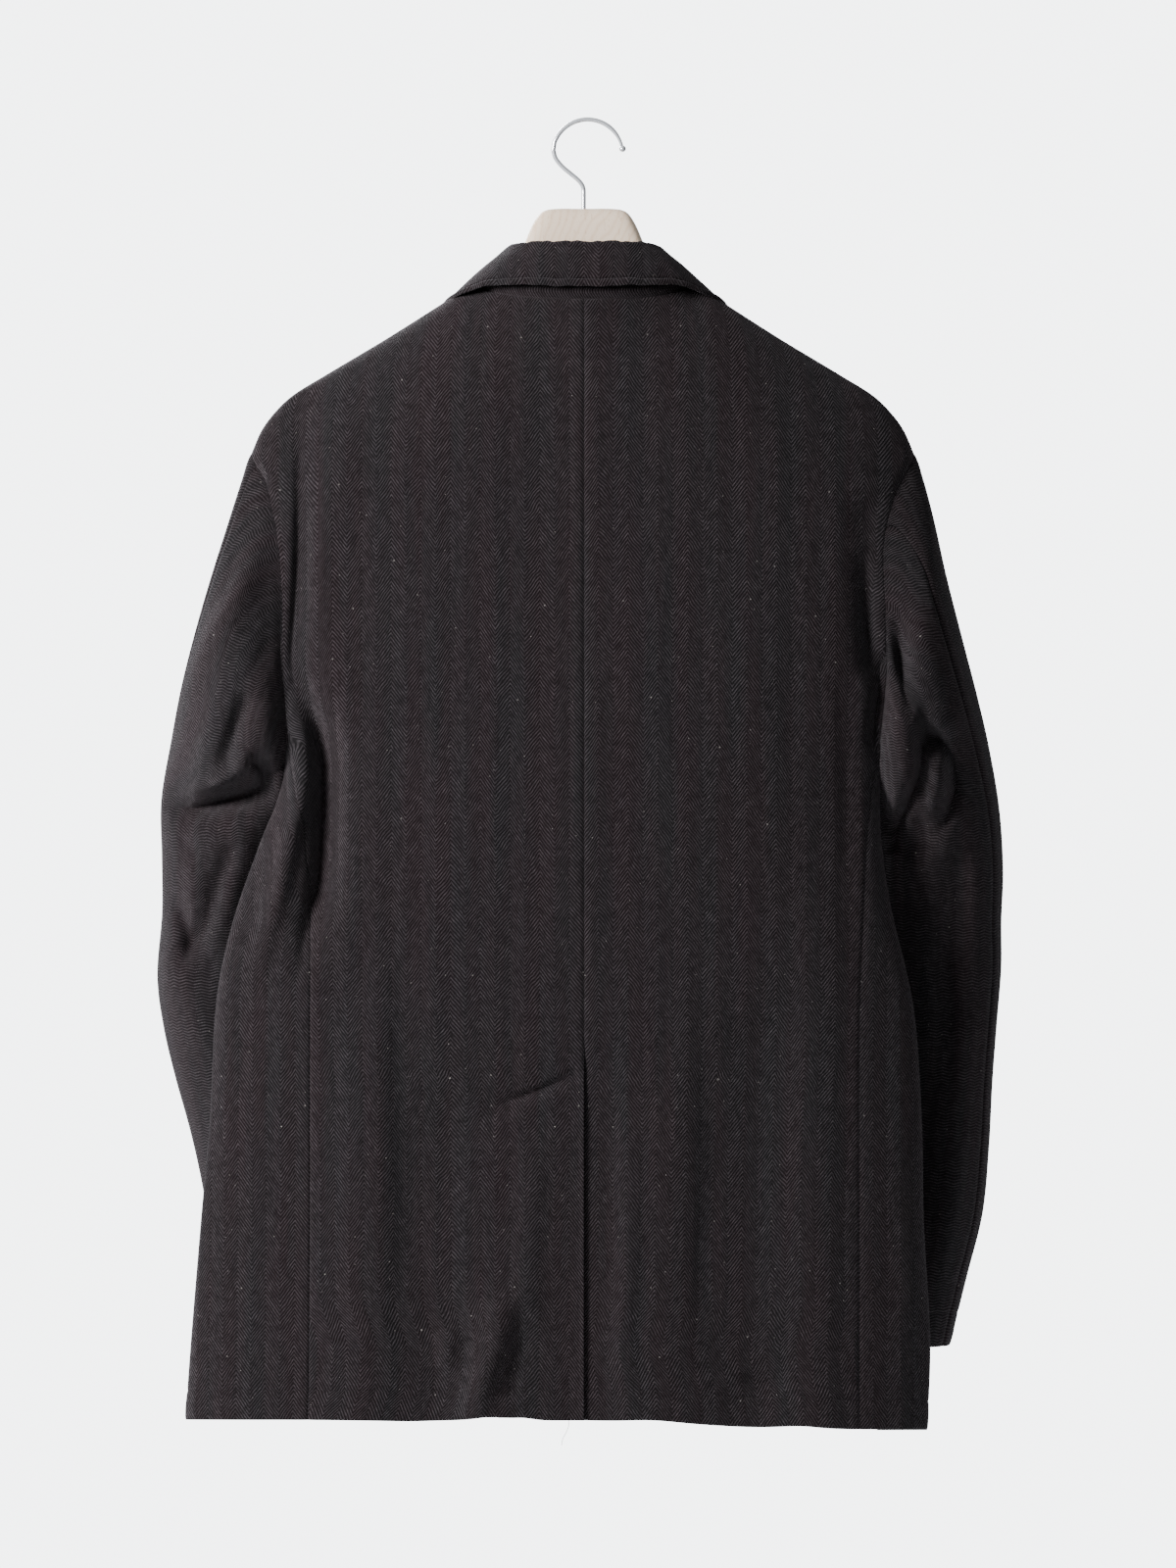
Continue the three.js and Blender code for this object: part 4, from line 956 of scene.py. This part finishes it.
def lapel(name, side):
    u, v = np.meshgrid(crowded(46, 0.6), crowded(84, 0.5))
    wide = readTable(fronts["lapel"], "along", v, "wide")
    edge = np.minimum(wide * (1 - u), 140 * (1 - v) + 200 * (v < 0.5))
    stitched = stitchedEdge(edge) - 0.4 * bell(edge, 1)
    belly = 1.6 * np.sin(np.pi * u) * np.sin(np.pi * np.minimum(1, v * 1.1)) ** 0.7
    height = mix(fronts["lapelAtRoll"], fronts["lapelAtEdge"], smooth(u, 0, 0.3)) + stitched + belly
    points = lapelPlace(side, u, v, height)
    along = np.linspace(0.12, 0.99, 150)
    inside = 1 - fronts["stitchIn"] / readTable(fronts["lapel"], "along", along, "wide")
    line = lapelPlace(side, inside, along, fronts["lapelAtEdge"] + trunk["wall"] / 2 - 0.3)
    sew(line, np.broadcast_to([0, -1, 0], (len(along), 3)))
    makeCloth(name, points, clothMap(points), name)


frontPanel("front_left", left)
frontPanel("front_right", right)
lapel("lapel_left", left)
lapel("lapel_right", right)
print("fronts ready")

# at: share of the way from the centre back to the collar's front end on the roll line
collar = {
    "at": [0, 0.2, 0.4, 0.55, 0.68, 0.84, 1],
    "seamX": [0, 31, 57, 69, 71.5, 65, 56],
    "seamY": [34.5, 32, 22, 9, -5, -27, -37],
    "seamZ": [-123, -122, -119, -116, -114.5, -123, -147],
    "foldX": [0, 23, 41, 50, 54, 56, 55],
    "foldY": [27, 25, 17, 5, -9, -29, -44],
    "foldZ": [-85.2, -85, -86, -88.5, -95, -114, -146],
    "edgeX": [0, 34, 66, 88, 98, 106, 104],
    "edgeY": [41, 38.5, 27.5, 11, -5, -28, -45],
    "edgeZ": [-116, -115, -115, -121.5, -127.5, -139, -171],
    "foldRadius": 2.4,
    "standGap": 1.5,
    "stitchIn": 5.5,        # stitching inside the collar's edge
    "round": 330,           # the neck seam's length
}


def collarLine(u, line):
    at = np.abs(u * 2 - 1)
    side = np.where(u < 0.5, left, right)
    x, y, z = (readTable(collar, "at", at, line + axis) for axis in "XYZ")
    return np.stack([side * x, y, z], axis=-1)


def collarFrame(u):
    # at each place round the neck: the fold, the way down the fall and the way out of it
    fold = collarLine(u, "fold")
    run = unit(collarLine(np.minimum(1, u + 0.01), "fold") - collarLine(np.maximum(0, u - 0.01), "fold"))
    across = collarLine(u, "edge") - fold
    across = unit(across - run * np.sum(across * run, axis=-1, keepdims=True))
    return fold, across, np.cross(across, run)


def collarStand():
    # straight from the neck seam up to the inside of the fold, and tucked behind the body below the seam
    u, v = np.meshgrid(np.linspace(0, 1, 201), np.concatenate([[-0.2, -0.1, -0.03], np.linspace(0, 1, 26)]))
    fold, across, out = collarFrame(u)
    top = fold + across * (collar["foldRadius"] + collar["standGap"]) - out * collar["foldRadius"]
    seam = collarLine(u, "seam")
    points = mix(seam, top, v[..., None])
    rise = np.linalg.norm(points - seam, axis=-1) * np.sign(v)
    tuck = smooth(-v, 0, 0.07)
    middle = np.abs(u - 0.5) * collar["round"]
    relief = -1.9 * bell(rise, 1.1) + 0.6 * bell(rise - 3.6, 2.2) - 0.8 * bell(middle, 0.9) - 5 * tuck
    points = points + out * relief[..., None]
    makeCloth("collar_stand", points, clothMap(points), "collar_stand", bandWool)


def collarFall():
    # half a turn round the fold, then straight out and down to the edge, with its stitched groove
    bend = 0.25
    u, v = np.meshgrid(np.linspace(0, 1, 181), stretches((0, 0.7, 36), (0.7, 1, 32)))
    fold, across, out = collarFrame(u)
    radius = collar["foldRadius"]
    turn = mix(-np.pi / 2, np.pi / 2, np.minimum(1, v / bend))[..., None]
    crest = fold + across * radius * (1 - np.cos(turn)) + out * radius * np.sin(turn)
    down = np.maximum(0, (v - bend) / (1 - bend))[..., None]
    edge = collarLine(u, "edge")
    edge = edge + across * (0.35 * np.sin(u * 61) + 0.25 * np.sin(u * 143 + 1))[..., None]
    points = mix(crest, edge, down)
    inside = np.linalg.norm(edge - points, axis=-1)
    length = inside.max(axis=0, keepdims=True)
    relief = (1.0 * bell(inside - 2.5, 2.0) - 1.1 * bell(inside - collar["stitchIn"], 1.0)
              - 0.4 * bell(inside, 0.8) + 0.9 * np.sin(np.pi * np.clip(inside / length, 0, 1)) ** 2
              + 0.25 * np.sin(u * 74 + 3 * v) * np.sin(u * 31 + 1))
    points = points + out * (relief * smooth(down[..., 0], 0, 0.3))[..., None]
    ripple = 0.35 * np.sin(u * 57) + 0.3 * np.sin(u * 128 + 2) + 0.22 * np.sin(u * 211 + 1)
    points = points - across * (ripple * (1 - smooth(down[..., 0], 0, 0.4)))[..., None]
    at = np.linspace(0.03, 0.97, 260)
    low, _, face = collarFrame(at)
    rim = collarLine(at, "edge")
    line = rim + unit(low - rim) * collar["stitchIn"] + face * (trunk["wall"] / 2 - 1.05)
    sew(line, face)
    makeCloth("collar_fall", points, clothMap(points, points.shape[1] // 2), "collar_fall")


collarStand()
collarFall()
print("collar ready")

# ring: share of the way from the armhole to the cuff. out: outer side. in: underarm side.
# seam: degrees from the outer side round to the back seam
sleeves = {
    "start": 0.5,           # how far the sleeve's top stands outside the trunk's edge
    "tuck": 5,              # how far its end reaches inside
    "frontSeam": 232,
    "radius": 45,           # about that of its ring
    "tucks": [1, 0.6, 0.25],
    "rows": [(0, 0.26, 70), (0.26, 0.5, 110), (0.5, 0.955, 90), (0.955, 1, 26)],
    left: {
        "columns": (54, 100),
        "ring": [0, 0.06, 0.12, 0.18, 0.24, 0.3, 0.36, 0.42, 0.48, 0.54, 0.6, 0.66, 0.72, 0.79, 0.86,
                 0.93, 1],
        "outX": [231, 238, 247, 258, 269, 279.5, 287.5, 295, 295, 295, 298.5, 294, 286, 275, 266, 259, 256],
        "outZ": [-232, -252, -280, -314, -351, -391, -430, -472, -510, -550, -595, -632, -666, -706,
                 -748, -798, -850],
        "inX": [206, 207.5, 207.5, 207.5, 207, 206, 205.5, 206, 207, 207, 207, 205, 199, 191, 184, 178,
                173],
        "inZ": [-447, -449, -453, -459, -468, -480, -496, -518, -543, -572, -608, -643, -678, -718,
                -758, -804, -853],
        "midY": [-1, -2, -5, -9, -17, -29, -46, -62, -73, -80, -84, -86, -87, -88, -88, -88, -88],
        "deep": [23.5, 28, 35, 42, 47, 50, 51, 50, 49, 49, 48, 47, 46, 45, 44, 43, 42],
        "seam": [24, 21, 18, 15, 12, 10, 8, 8, 8, 8, 8, 8, 8, 8, 8, 8, 8],
    },
    right: {
        "columns": (66, 84),
        "ring": [0, 0.06, 0.12, 0.18, 0.24, 0.3, 0.36, 0.42, 0.48, 0.54, 0.6, 0.66, 0.72, 0.79, 0.86,
                 0.93, 1],
        "outX": [229, 237, 244, 252, 263, 274, 282.5, 290, 293, 292, 292, 289, 286, 283.5, 279, 268,
                 256],
        "outZ": [-232, -254, -283, -318, -360, -401, -436, -478, -520, -556, -590, -628, -668, -716,
                 -762, -806, -854],
        "inX": [206, 205.5, 205, 204, 203, 202, 201, 200, 199, 199, 199, 201, 198, 193, 186, 179, 172],
        "inZ": [-447, -449, -453, -459, -468, -480, -496, -518, -543, -572, -605, -641, -680, -724,
                -768, -811, -856],
        "midY": [-1, -2, -5, -9, -17, -29, -46, -62, -73, -79, -83, -84, -85, -86, -86, -86, -86],
        "deep": [23.5, 28, 35, 42, 47, 50, 51, 50, 49, 49, 48, 47, 46, 45, 44, 43, 42],
        "seam": [58, 55, 51, 47, 44, 41, 38, 34, 32, 31, 30, 30, 30, 30, 30, 30, 30],
    },
}


def armholeEdge(side, angle):
    # the armhole as an upright oval on the trunk's edge, with its foot along the side body's top
    middle = (trunk["armholeTop"] + trunk["armholeFoot"] - trunk["armholeScoop"]) / 2
    reach = middle - trunk["armholeFoot"] + trunk["armholeScoop"]
    foot = math.acos((trunk["armholeFoot"] - middle) / reach)
    u = np.clip((angle - foot) / (2 * (np.pi - foot)), 0, 1)
    low = trunk["armholeFoot"] - trunk["armholeScoop"] * np.sin(np.pi * u)
    girth = mix(seamAngle(side, low, "edge"), np.pi - seamAngle(side, low, "front"), u)
    under = roundHalf(side, girth, low)
    z = middle + reach * np.cos(angle)
    edge = side * readTable(trunk[side], "z", z, "edge")
    over = np.where((angle < np.pi)[..., None], onBack(edge, z), onFront(edge, z))
    return np.where((np.abs(angle - np.pi) < np.pi - foot)[..., None], under, over)


def sleevePoint(side, ring, angle, lift=0):
    # an oval ring tilted between its outer and its underarm end, drawn towards the armhole at the top
    value = lambda name: readTable(sleeves[side], "ring", ring, name)
    cosine, sine = np.cos(angle), np.sin(angle)
    x = side * ((value("outX") + value("inX")) / 2 + (value("outX") - value("inX")) / 2 * cosine)
    z = (value("outZ") + value("inZ")) / 2 + (value("outZ") - value("inZ")) / 2 * cosine
    folds = foldHeight(sleeveFolds[side], x, z) + creaseHeight(sleeveCreases[side], x, z)
    folds = (folds + slack(x, z, 8 + side)) * np.maximum(0, sine) * smooth(ring, 0, 0.1)
    y = value("midY") + value("deep") * sine + folds + lift * sine
    point = np.stack([x + side * lift * cosine, y, z], axis=-1)
    return mix(point, armholeEdge(side, angle), (1 - smooth(ring, 0, 0.12))[..., None])


def sleevePiece(name, side, columns, fromSeam, toSeam):
    # rings from the armhole down, closer together over the folds at the underarm; the first three are
    # tucked inside the trunk's edge, so that the armhole seam is closed
    us = crowded(columns, 0.75)
    below = stretches(*sleeves["rows"])
    vs = np.concatenate([[0, 0, 0], below])
    tucks = np.concatenate([sleeves["tucks"], 0 * below])
    u, ring = np.meshgrid(us, vs)
    tuck = np.broadcast_to(tucks[:, None], ring.shape)
    back = readTable(sleeves[side], "ring", ring, "seam")
    gap = trunk["seamGap"] / sleeves["radius"]
    angle = mix(np.radians(fromSeam(back)) + gap / 2, np.radians(toSeam(back)) - gap / 2, u)
    angle = angle % (2 * np.pi)
    bare = sleevePoint(side, ring, angle)
    girth = lengthsAlong(bare, 1)
    cuffUp = lengthsAlong(bare[::-1], 0)[::-1]
    fromTop = lengthsAlong(bare, 0)
    lift = seamRoll(girth) + seamRoll(girth[:, -1:] - girth)
    lift = lift - 0.5 * bell(cuffUp, 1.0) + 0.4 * bell(cuffUp - 7, 6) - 0.5 * bell(cuffUp - 24, 1.1)
    ease = np.sin(angle * 19 + side) * bell(fromTop - 9, 8) * smooth(np.cos(angle), -0.4, 0.6)
    lift = lift - 1.6 * bell(fromTop, 1.1) + 0.9 * bell(fromTop - 6, 5) + 0.22 * ease
    points = sleevePoint(side, ring, angle, lift)
    points[..., 0] += side * (sleeves["start"] * (1 - smooth(ring, 0, 0.2)) - sleeves["tuck"] * tuck)
    points[..., 1] -= np.sign(np.sin(angle)) * 2.6 * tuck * np.minimum(1, np.abs(points[..., 1]) / 8)
    points[..., 2] -= 2.2 * tuck * np.cos(angle)
    uv = clothMap(points[::-1], len(us) // 2)[::-1]
    makeCloth(name, points, uv, name, sleeveWool)


for word, side in (("left", left), ("right", right)):
    topColumns, underColumns = sleeves[side]["columns"]
    atBack = lambda back: back
    atFront = lambda back: 0 * back + sleeves["frontSeam"]
    sleevePiece("sleeve_top_" + word, side, topColumns, lambda back: atFront(back) - 360, atBack)
    sleevePiece("sleeve_under_" + word, side, underColumns, atBack, atFront)
makeStitches()
print("sleeves and stitching ready")

buttons = {
    "rows": [-466, -576],
    "apart": 88,
    "radius": 11.5,
    "gap": 0.6,             # the thread shank keeps the button off the cloth
    "holeAt": 2.3,          # from the middle to each of the four holes, along and across
    "hole": 1.15,
    "pit": 1.5,             # depth of a hole
    "r": [0.15, 6, 10.2, 11.3, 11.5, 11.1, 9.9, 8.6, 7.6],      # from the back's middle over the rim
    "h": [0, 0, 0.15, 0.9, 1.8, 3.0, 3.6, 3.0, 2.3],
    "rimSteps": 30,
    "faceSteps": 26,
}


def buttonFrame(x, z):
    # the middle of a button's back, and the ways across, up and out of it
    outside = lambda atX, atZ: onFront(np.array(atX, float), np.array(atZ, float),
                                       lapLift(np.array(atX, float)) + trunk["wall"] / 2 + buttons["gap"])
    reach = buttons["radius"]
    across = unit(outside(x + reach, z) - outside(x - reach, z))
    up = unit(outside(x, z + reach) - outside(x, z - reach))
    out = unit(np.cross(across, up))
    return outside(x, z), across, np.cross(out, across), out


def makeButton(name, x, z):
    # turned round its middle: a raised rounded rim, a dished face and four pits for the thread
    middle, across, up, out = buttonFrame(x, z)
    profile = {"at": np.arange(len(buttons["r"])), "r": buttons["r"], "h": buttons["h"]}
    rim, face = buttons["rimSteps"], buttons["faceSteps"]
    at = np.linspace(0, len(buttons["r"]) - 1, rim)
    r = np.concatenate([readTable(profile, "at", at, "r"), np.linspace(7.3, 0.1, face)])
    h = np.concatenate([readTable(profile, "at", at, "h"), 2.2 - 0.3 * np.linspace(0, 1, face)])
    turn = np.linspace(0, 2 * np.pi, 72, endpoint=False)
    sideways, upward = r[:, None] * np.cos(turn), r[:, None] * np.sin(turn)
    height = np.broadcast_to(h[:, None], sideways.shape).copy()
    onFace = (np.arange(len(r)) >= rim)[:, None]
    holeAt, hole = buttons["holeAt"] * 0.8, buttons["hole"]
    for stepX in (-1, 1):
        for stepZ in (-1, 1):
            away = np.hypot(sideways - stepX * holeAt, upward - stepZ * holeAt)
            height -= onFace * buttons["pit"] * (1 - smooth(away, hole * 0.7, hole * 1.15))
    places = (middle + sideways[..., None] * across + upward[..., None] * up + height[..., None] * out)
    faces = ringFaces(len(r), len(turn))
    smallMesh("horn_" + name, places.reshape(-1, 3), faces, horn, [name])


def buttonThreads():
    # two bars of three strands each through every button's holes, and the shank wound under it
    places, faces, first = [], [], 0
    for z in buttons["rows"]:
        for x in (-buttons["apart"] / 2, buttons["apart"] / 2):
            middle, across, up, out = buttonFrame(x, z)
            tubes = []
            for lane in (-1, 1):
                for strand in (-0.42, 0, 0.42):
                    t = np.linspace(-1, 1, 13)
                    bow = 1.9 + 0.75 * (1 - t**4) + 0.1 * (strand == 0)
                    path = (middle + (t * buttons["holeAt"] * 0.86)[:, None] * across + bow[:, None] * out
                            + (lane * buttons["holeAt"] * 0.8 + strand) * up)
                    tubes.append(tubePlaces(path, 0.26, 8, up))
            t = np.linspace(0, 2 * np.pi * 4, 90)
            path = (middle + 1.5 * np.cos(t)[:, None] * across + 1.5 * np.sin(t)[:, None] * up
                    + (-0.5 + 1.0 * t / t[-1])[:, None] * out)
            tubes.append(tubePlaces(path, 0.25, 6, out))
            for tube in tubes:
                faces += ringFaces(*tube.shape[:2], first)
                first += tube.shape[0] * tube.shape[1]
                places.append(tube.reshape(-1, 3))
    smallMesh("button_threads", np.concatenate(places), faces, thread)


def makeButtonhole(name, x, z):
    # a corded rim of close stitches round a slit: a torus whose tube swells with sin(stitches * turn)
    middle, across, up, out = buttonFrame(x, z)
    around, sides, twists = 220, 8, 88
    turn = np.linspace(0, 2 * np.pi, around, endpoint=False)
    tube = np.linspace(0, 2 * np.pi, sides, endpoint=False)
    long, wide = 12.5, 1.5
    pointed = np.sign(np.cos(turn)) * np.abs(np.cos(turn)) ** 0.75
    swell = 0.62 * (1 + 0.16 * np.sin(turn * twists))
    along, aside = (long - 9) + long * pointed, wide * np.sin(turn)
    ring = np.stack([along, aside, 0 * turn], axis=-1)
    outward = unit(np.stack([np.cos(turn) * 0.4, np.sin(turn), 0 * turn], axis=-1))
    flat = (ring[:, None] + swell[:, None, None]
            * (np.cos(tube)[None, :, None] * outward[:, None] + np.sin(tube)[None, :, None] * [0, 0, 1]))
    places = (middle + flat[..., :1] * across + flat[..., 1:2] * up
              + (flat[..., 2:] - buttons["gap"] + 0.15) * out)
    numbers = np.arange(around * sides).reshape(around, sides)
    nextRing, nextSide = np.roll(numbers, -1, axis=0), np.roll(numbers, -1, axis=1)
    quads = np.stack([numbers, nextRing, np.roll(nextRing, -1, axis=1), nextSide], axis=-1).reshape(-1, 4)
    smallMesh(name, places.reshape(-1, 3), quads.tolist(), thread)


for row, z in enumerate(buttons["rows"]):
    makeButton("button_%d" % (2 * row + 1), -buttons["apart"] / 2, z)
    makeButton("button_%d" % (2 * row + 2), buttons["apart"] / 2, z)
    makeButtonhole("buttonhole_%d" % (row + 1), -buttons["apart"] / 2, z)
buttonThreads()
print("buttons ready")

hanger = {
    "out": [0, 22, 30, 36, 42, 52, 64, 82, 100, 130, 158, 182, 194, 200],
    "top": [-60.6, -60.8, -63.4, -72, -86, -106, -120, -122, -128, -144, -160, -174, -187, -193],
    "bottom": [-118, -121, -123, -126, -129, -134, -141, -152, -163, -181, -198, -212, -215, -211],
    "thick": [11.5, 11.5, 11.4, 11.2, 11, 10.8, 10.4, 10, 10, 10.4, 11, 11.4, 10.4, 7],
    "rest": 0.8,            # between its arms and the cloth
    "squareness": 2.7,      # the section is a rounded bar, thick * cos^(2/n) by half the height * sin^(2/n)
    "wire": 1.55,
    "circle": (-2.4, -23.1, 24.6),      # x, z and radius of the open hook
    "circleEnds": (21, 166),
    "stem": [(0.3, -66), (0.3, -56), (0.3, -50), (0.45, -47), (1.3, -44.3), (3.2, -41.6), (6.2, -38.8),
             (10, -35.7), (14, -32.4), (17.6, -28.6), (20.2, -24.6), (21.4, -19.6)],
    "ball": 2.3,
}


def makeHanger():
    # rounded rings strung along X, drawn in to a round end on both sides
    end = np.linspace(0, np.pi / 2, 9)[1:]
    out = stretches((0, 28, 12), (28, 66, 34), (66, 180, 46), (180, 200, 14))
    x = np.concatenate([-out[::-1], out[1:]])
    reach = np.abs(x)
    value = lambda name: readTable(hanger, "out", reach, name)
    shoulderEnd = np.where(x < 0, trunk[right]["edge"][-1], trunk[left]["edge"][-1])
    shoulder = readTable(trunk["shoulder"], "out", reach / shoulderEnd, "z")
    roof = np.where(reach < trunk["neckReach"], 999, shoulder - trunk["wall"] / 2 - hanger["rest"])
    top, bottom, thick = np.minimum(value("top"), roof), value("bottom"), value("thick")
    middle, tall = (top + bottom) / 2, (top - bottom) / 2
    capX = out[-1] + 5 * np.sin(end)
    capSize = np.maximum(0.02, np.cos(end))
    x = np.concatenate([-capX[::-1], x, capX])
    middle = np.pad(middle, len(end), mode="edge")
    tall = np.concatenate([tall[0] * capSize[::-1], tall, tall[-1] * capSize])
    thick = np.concatenate([thick[0] * capSize[::-1], thick, thick[-1] * capSize])
    turn = np.linspace(0, 2 * np.pi, 44, endpoint=False)
    power = 2 / hanger["squareness"]
    across = np.sign(np.sin(turn)) * np.abs(np.sin(turn)) ** power
    up = np.sign(np.cos(turn)) * np.abs(np.cos(turn)) ** power
    y, z = thick[:, None] * across, middle[:, None] + tall[:, None] * up
    places = np.stack(np.broadcast_arrays(x[:, None], y, z), axis=-1)
    faces = ringFaces(len(x), len(turn))
    smallMesh("beech_hanger", places.reshape(-1, 3), faces, beech, ["hanger_wood"])


def makeHook():
    # a round wire carried up the stem, along the slanting neck and round the open circle
    x, z, radius = hanger["circle"]
    turn = np.radians(np.linspace(*hanger["circleEnds"], 46))
    circle = np.stack([x + radius * np.cos(turn), z + radius * np.sin(turn)], axis=-1)
    flat = np.concatenate([throughPlaces(hanger["stem"], 46), circle])
    path = np.stack([flat[:, 0], 0 * flat[:, 0], flat[:, 1]], axis=-1)
    ease = smooth(np.arange(len(path)), len(path) - 14, len(path) - 1)
    wire = tubePlaces(path, hanger["wire"] * (1 - 0.3 * ease), 20, np.array([0, 1, 0]))
    smallMesh("chrome_hook", wire.reshape(-1, 3), ringFaces(*wire.shape[:2]), chrome, ["hanger_hook"])
    ahead = unit(path[-1] - path[-2])
    centre = path[-1] + ahead * hanger["ball"] * 0.75
    down = np.linspace(0.04, np.pi - 0.04, 18)[:, None, None]
    around = np.linspace(0, 2 * np.pi, 28, endpoint=False)[None, :, None]
    ball = hanger["ball"] * np.concatenate([np.sin(down) * np.cos(around), np.sin(down) * np.sin(around),
                                            np.cos(down) + 0 * around], axis=-1)
    faces = ringFaces(*ball.shape[:2])
    smallMesh("chrome_ball", (centre + ball).reshape(-1, 3), faces, chrome, ["hook_ball"])


makeHanger()
makeHook()
print("hanger ready")

looseThread = {
    "line": [(11, -897), (10.6, -904), (12.2, -909), (14.8, -914), (15.6, -918.5)],
    "thick": 0.17,
}


def makeLooseThread():
    # an end of sewing thread that hangs from the hem beside the vent
    flat = throughPlaces(looseThread["line"], 40)
    depth = onBack(flat[:1, 0], np.maximum(flat[:1, 1], -900))[0, 1]
    path = np.stack([flat[:, 0], depth - 0.6 + 0.02 * (flat[:, 0] - 11) ** 2, flat[:, 1]], axis=-1)
    tube = tubePlaces(path, looseThread["thick"], 8, np.array([0, 1, 0]))
    smallMesh("loose_thread", tube.reshape(-1, 3), ringFaces(*tube.shape[:2]), thread)


makeLooseThread()


# Floor, room light and camera.
stage = {
    "floorHeight": -1.3,
    "floorSize": 2.6,
    "paleRoom": (0.955, 0.98, 1.0),
    "roomShown": 5.5,       # how bright the room is behind the jacket
    "roomLight": (0.42, 0.12),      # its light from the front's side and from the back's side
    "roomGloss": (1.0, 0.8),        # its brightness in reflections, and how much more of it on the left
    "roomAbove": 0.7,       # how much brighter it is overhead, and darker below
    "cameraAway": 9.0,
    "framedHeight": 1.088,
    "centre": (-0.0027, 0.02, -0.4606),
    "lights": {
        "windowLight": {"place": (1.5, 1.35, 0.36), "aim": (0, 0, -0.45), "size": 0.7, "power": 90,
                        "colour": (1, 0.985, 0.995)},
        "frontLight": {"place": (1.0, -1.9, 1.0), "aim": (0, 0, -0.5), "size": 0.9, "power": 95,
                       "colour": (0.95, 0.98, 1)},
    },
}


def makeStage():
    # a pale floor, and a room that lights, shines and shows with a brightness of its own in each
    floor = gridMesh("floor", np.stack([*np.meshgrid(np.linspace(-1, 1, 5), np.linspace(-1, 1, 5)),
                                        np.zeros((5, 5))], axis=-1) * stage["floorSize"] * 500)
    floor.location.z = stage["floorHeight"]
    made, nodes, links, shader = newMaterial("paleFloor")
    shader.inputs["Base Color"].default_value = (0.78, 0.80, 0.82, 1)
    shader.inputs["Roughness"].default_value = 0.8
    floor.data.materials.append(made)
    world = bpy.data.worlds.new("paleRoom")
    bpy.context.scene.world = world
    world.use_nodes = True
    nodes, links = world.node_tree.nodes, world.node_tree.links
    lighting = nodes["Background"]
    lighting.inputs[0].default_value = (*stage["paleRoom"], 1)
    shown = nodes.new("ShaderNodeBackground")
    shown.inputs[0].default_value = (*stage["paleRoom"], 1)
    shown.inputs[1].default_value = stage["roomShown"]
    parts = nodes.new("ShaderNodeSeparateXYZ")
    links.new(nodes.new("ShaderNodeTexCoord").outputs["Generated"], parts.inputs[0])
    atFront, atBack = stage["roomLight"]
    share = mathNode(nodes, links, "MULTIPLY_ADD", parts.outputs[1], 0.5, 0.5)
    level = mathNode(nodes, links, "MULTIPLY_ADD", share, atBack - atFront, atFront)
    above = mathNode(nodes, links, "MULTIPLY_ADD", parts.outputs[2], stage["roomAbove"], 1.0)
    links.new(mathNode(nodes, links, "MULTIPLY", level, above), lighting.inputs[1])
    gloss = nodes.new("ShaderNodeBackground")
    gloss.inputs[0].default_value = (*stage["paleRoom"], 1)
    evenly, more = stage["roomGloss"]
    links.new(mathNode(nodes, links, "MULTIPLY_ADD", parts.outputs[0], more, evenly), gloss.inputs[1])
    ray = nodes.new("ShaderNodeLightPath")
    seen = lighting.outputs[0]
    for kind, background in (("Is Glossy Ray", gloss), ("Is Camera Ray", shown)):
        choose = nodes.new("ShaderNodeMixShader")
        links.new(ray.outputs[kind], choose.inputs[0])
        links.new(seen, choose.inputs[1])
        links.new(background.outputs[0], choose.inputs[2])
        seen = choose.outputs[0]
    links.new(seen, nodes["World Output"].inputs["Surface"])


def areaLight(name, place, aim, size, power, colour):
    # turned so that its -Z axis runs from its place to its aim
    light = bpy.data.objects.new(name, bpy.data.lights.new(name, "AREA"))
    light.data.size = size
    light.data.energy = power
    light.data.color = colour
    light.location = place
    run = np.array(aim) - np.array(place)
    tilt = math.atan2(math.hypot(run[0], run[1]), -run[2])
    light.rotation_euler = (tilt, 0, math.atan2(run[1], run[0]) - math.pi / 2)
    bpy.context.scene.collection.objects.link(light)


def makeCamera():
    # level behind the jacket, with a lens that takes in framedHeight at the jacket's distance
    lens = bpy.data.cameras.new("camera")
    lens.lens = 36 * stage["cameraAway"] / stage["framedHeight"]
    camera = bpy.data.objects.new("camera", lens)
    x, y, z = stage["centre"]
    camera.location = (x, y + stage["cameraAway"], z)
    camera.rotation_euler = (math.pi / 2, 0, math.pi)
    bpy.context.scene.collection.objects.link(camera)
    bpy.context.scene.camera = camera


makeStage()
for name, light in stage["lights"].items():
    areaLight(name, **light)
makeCamera()
print("stage ready")
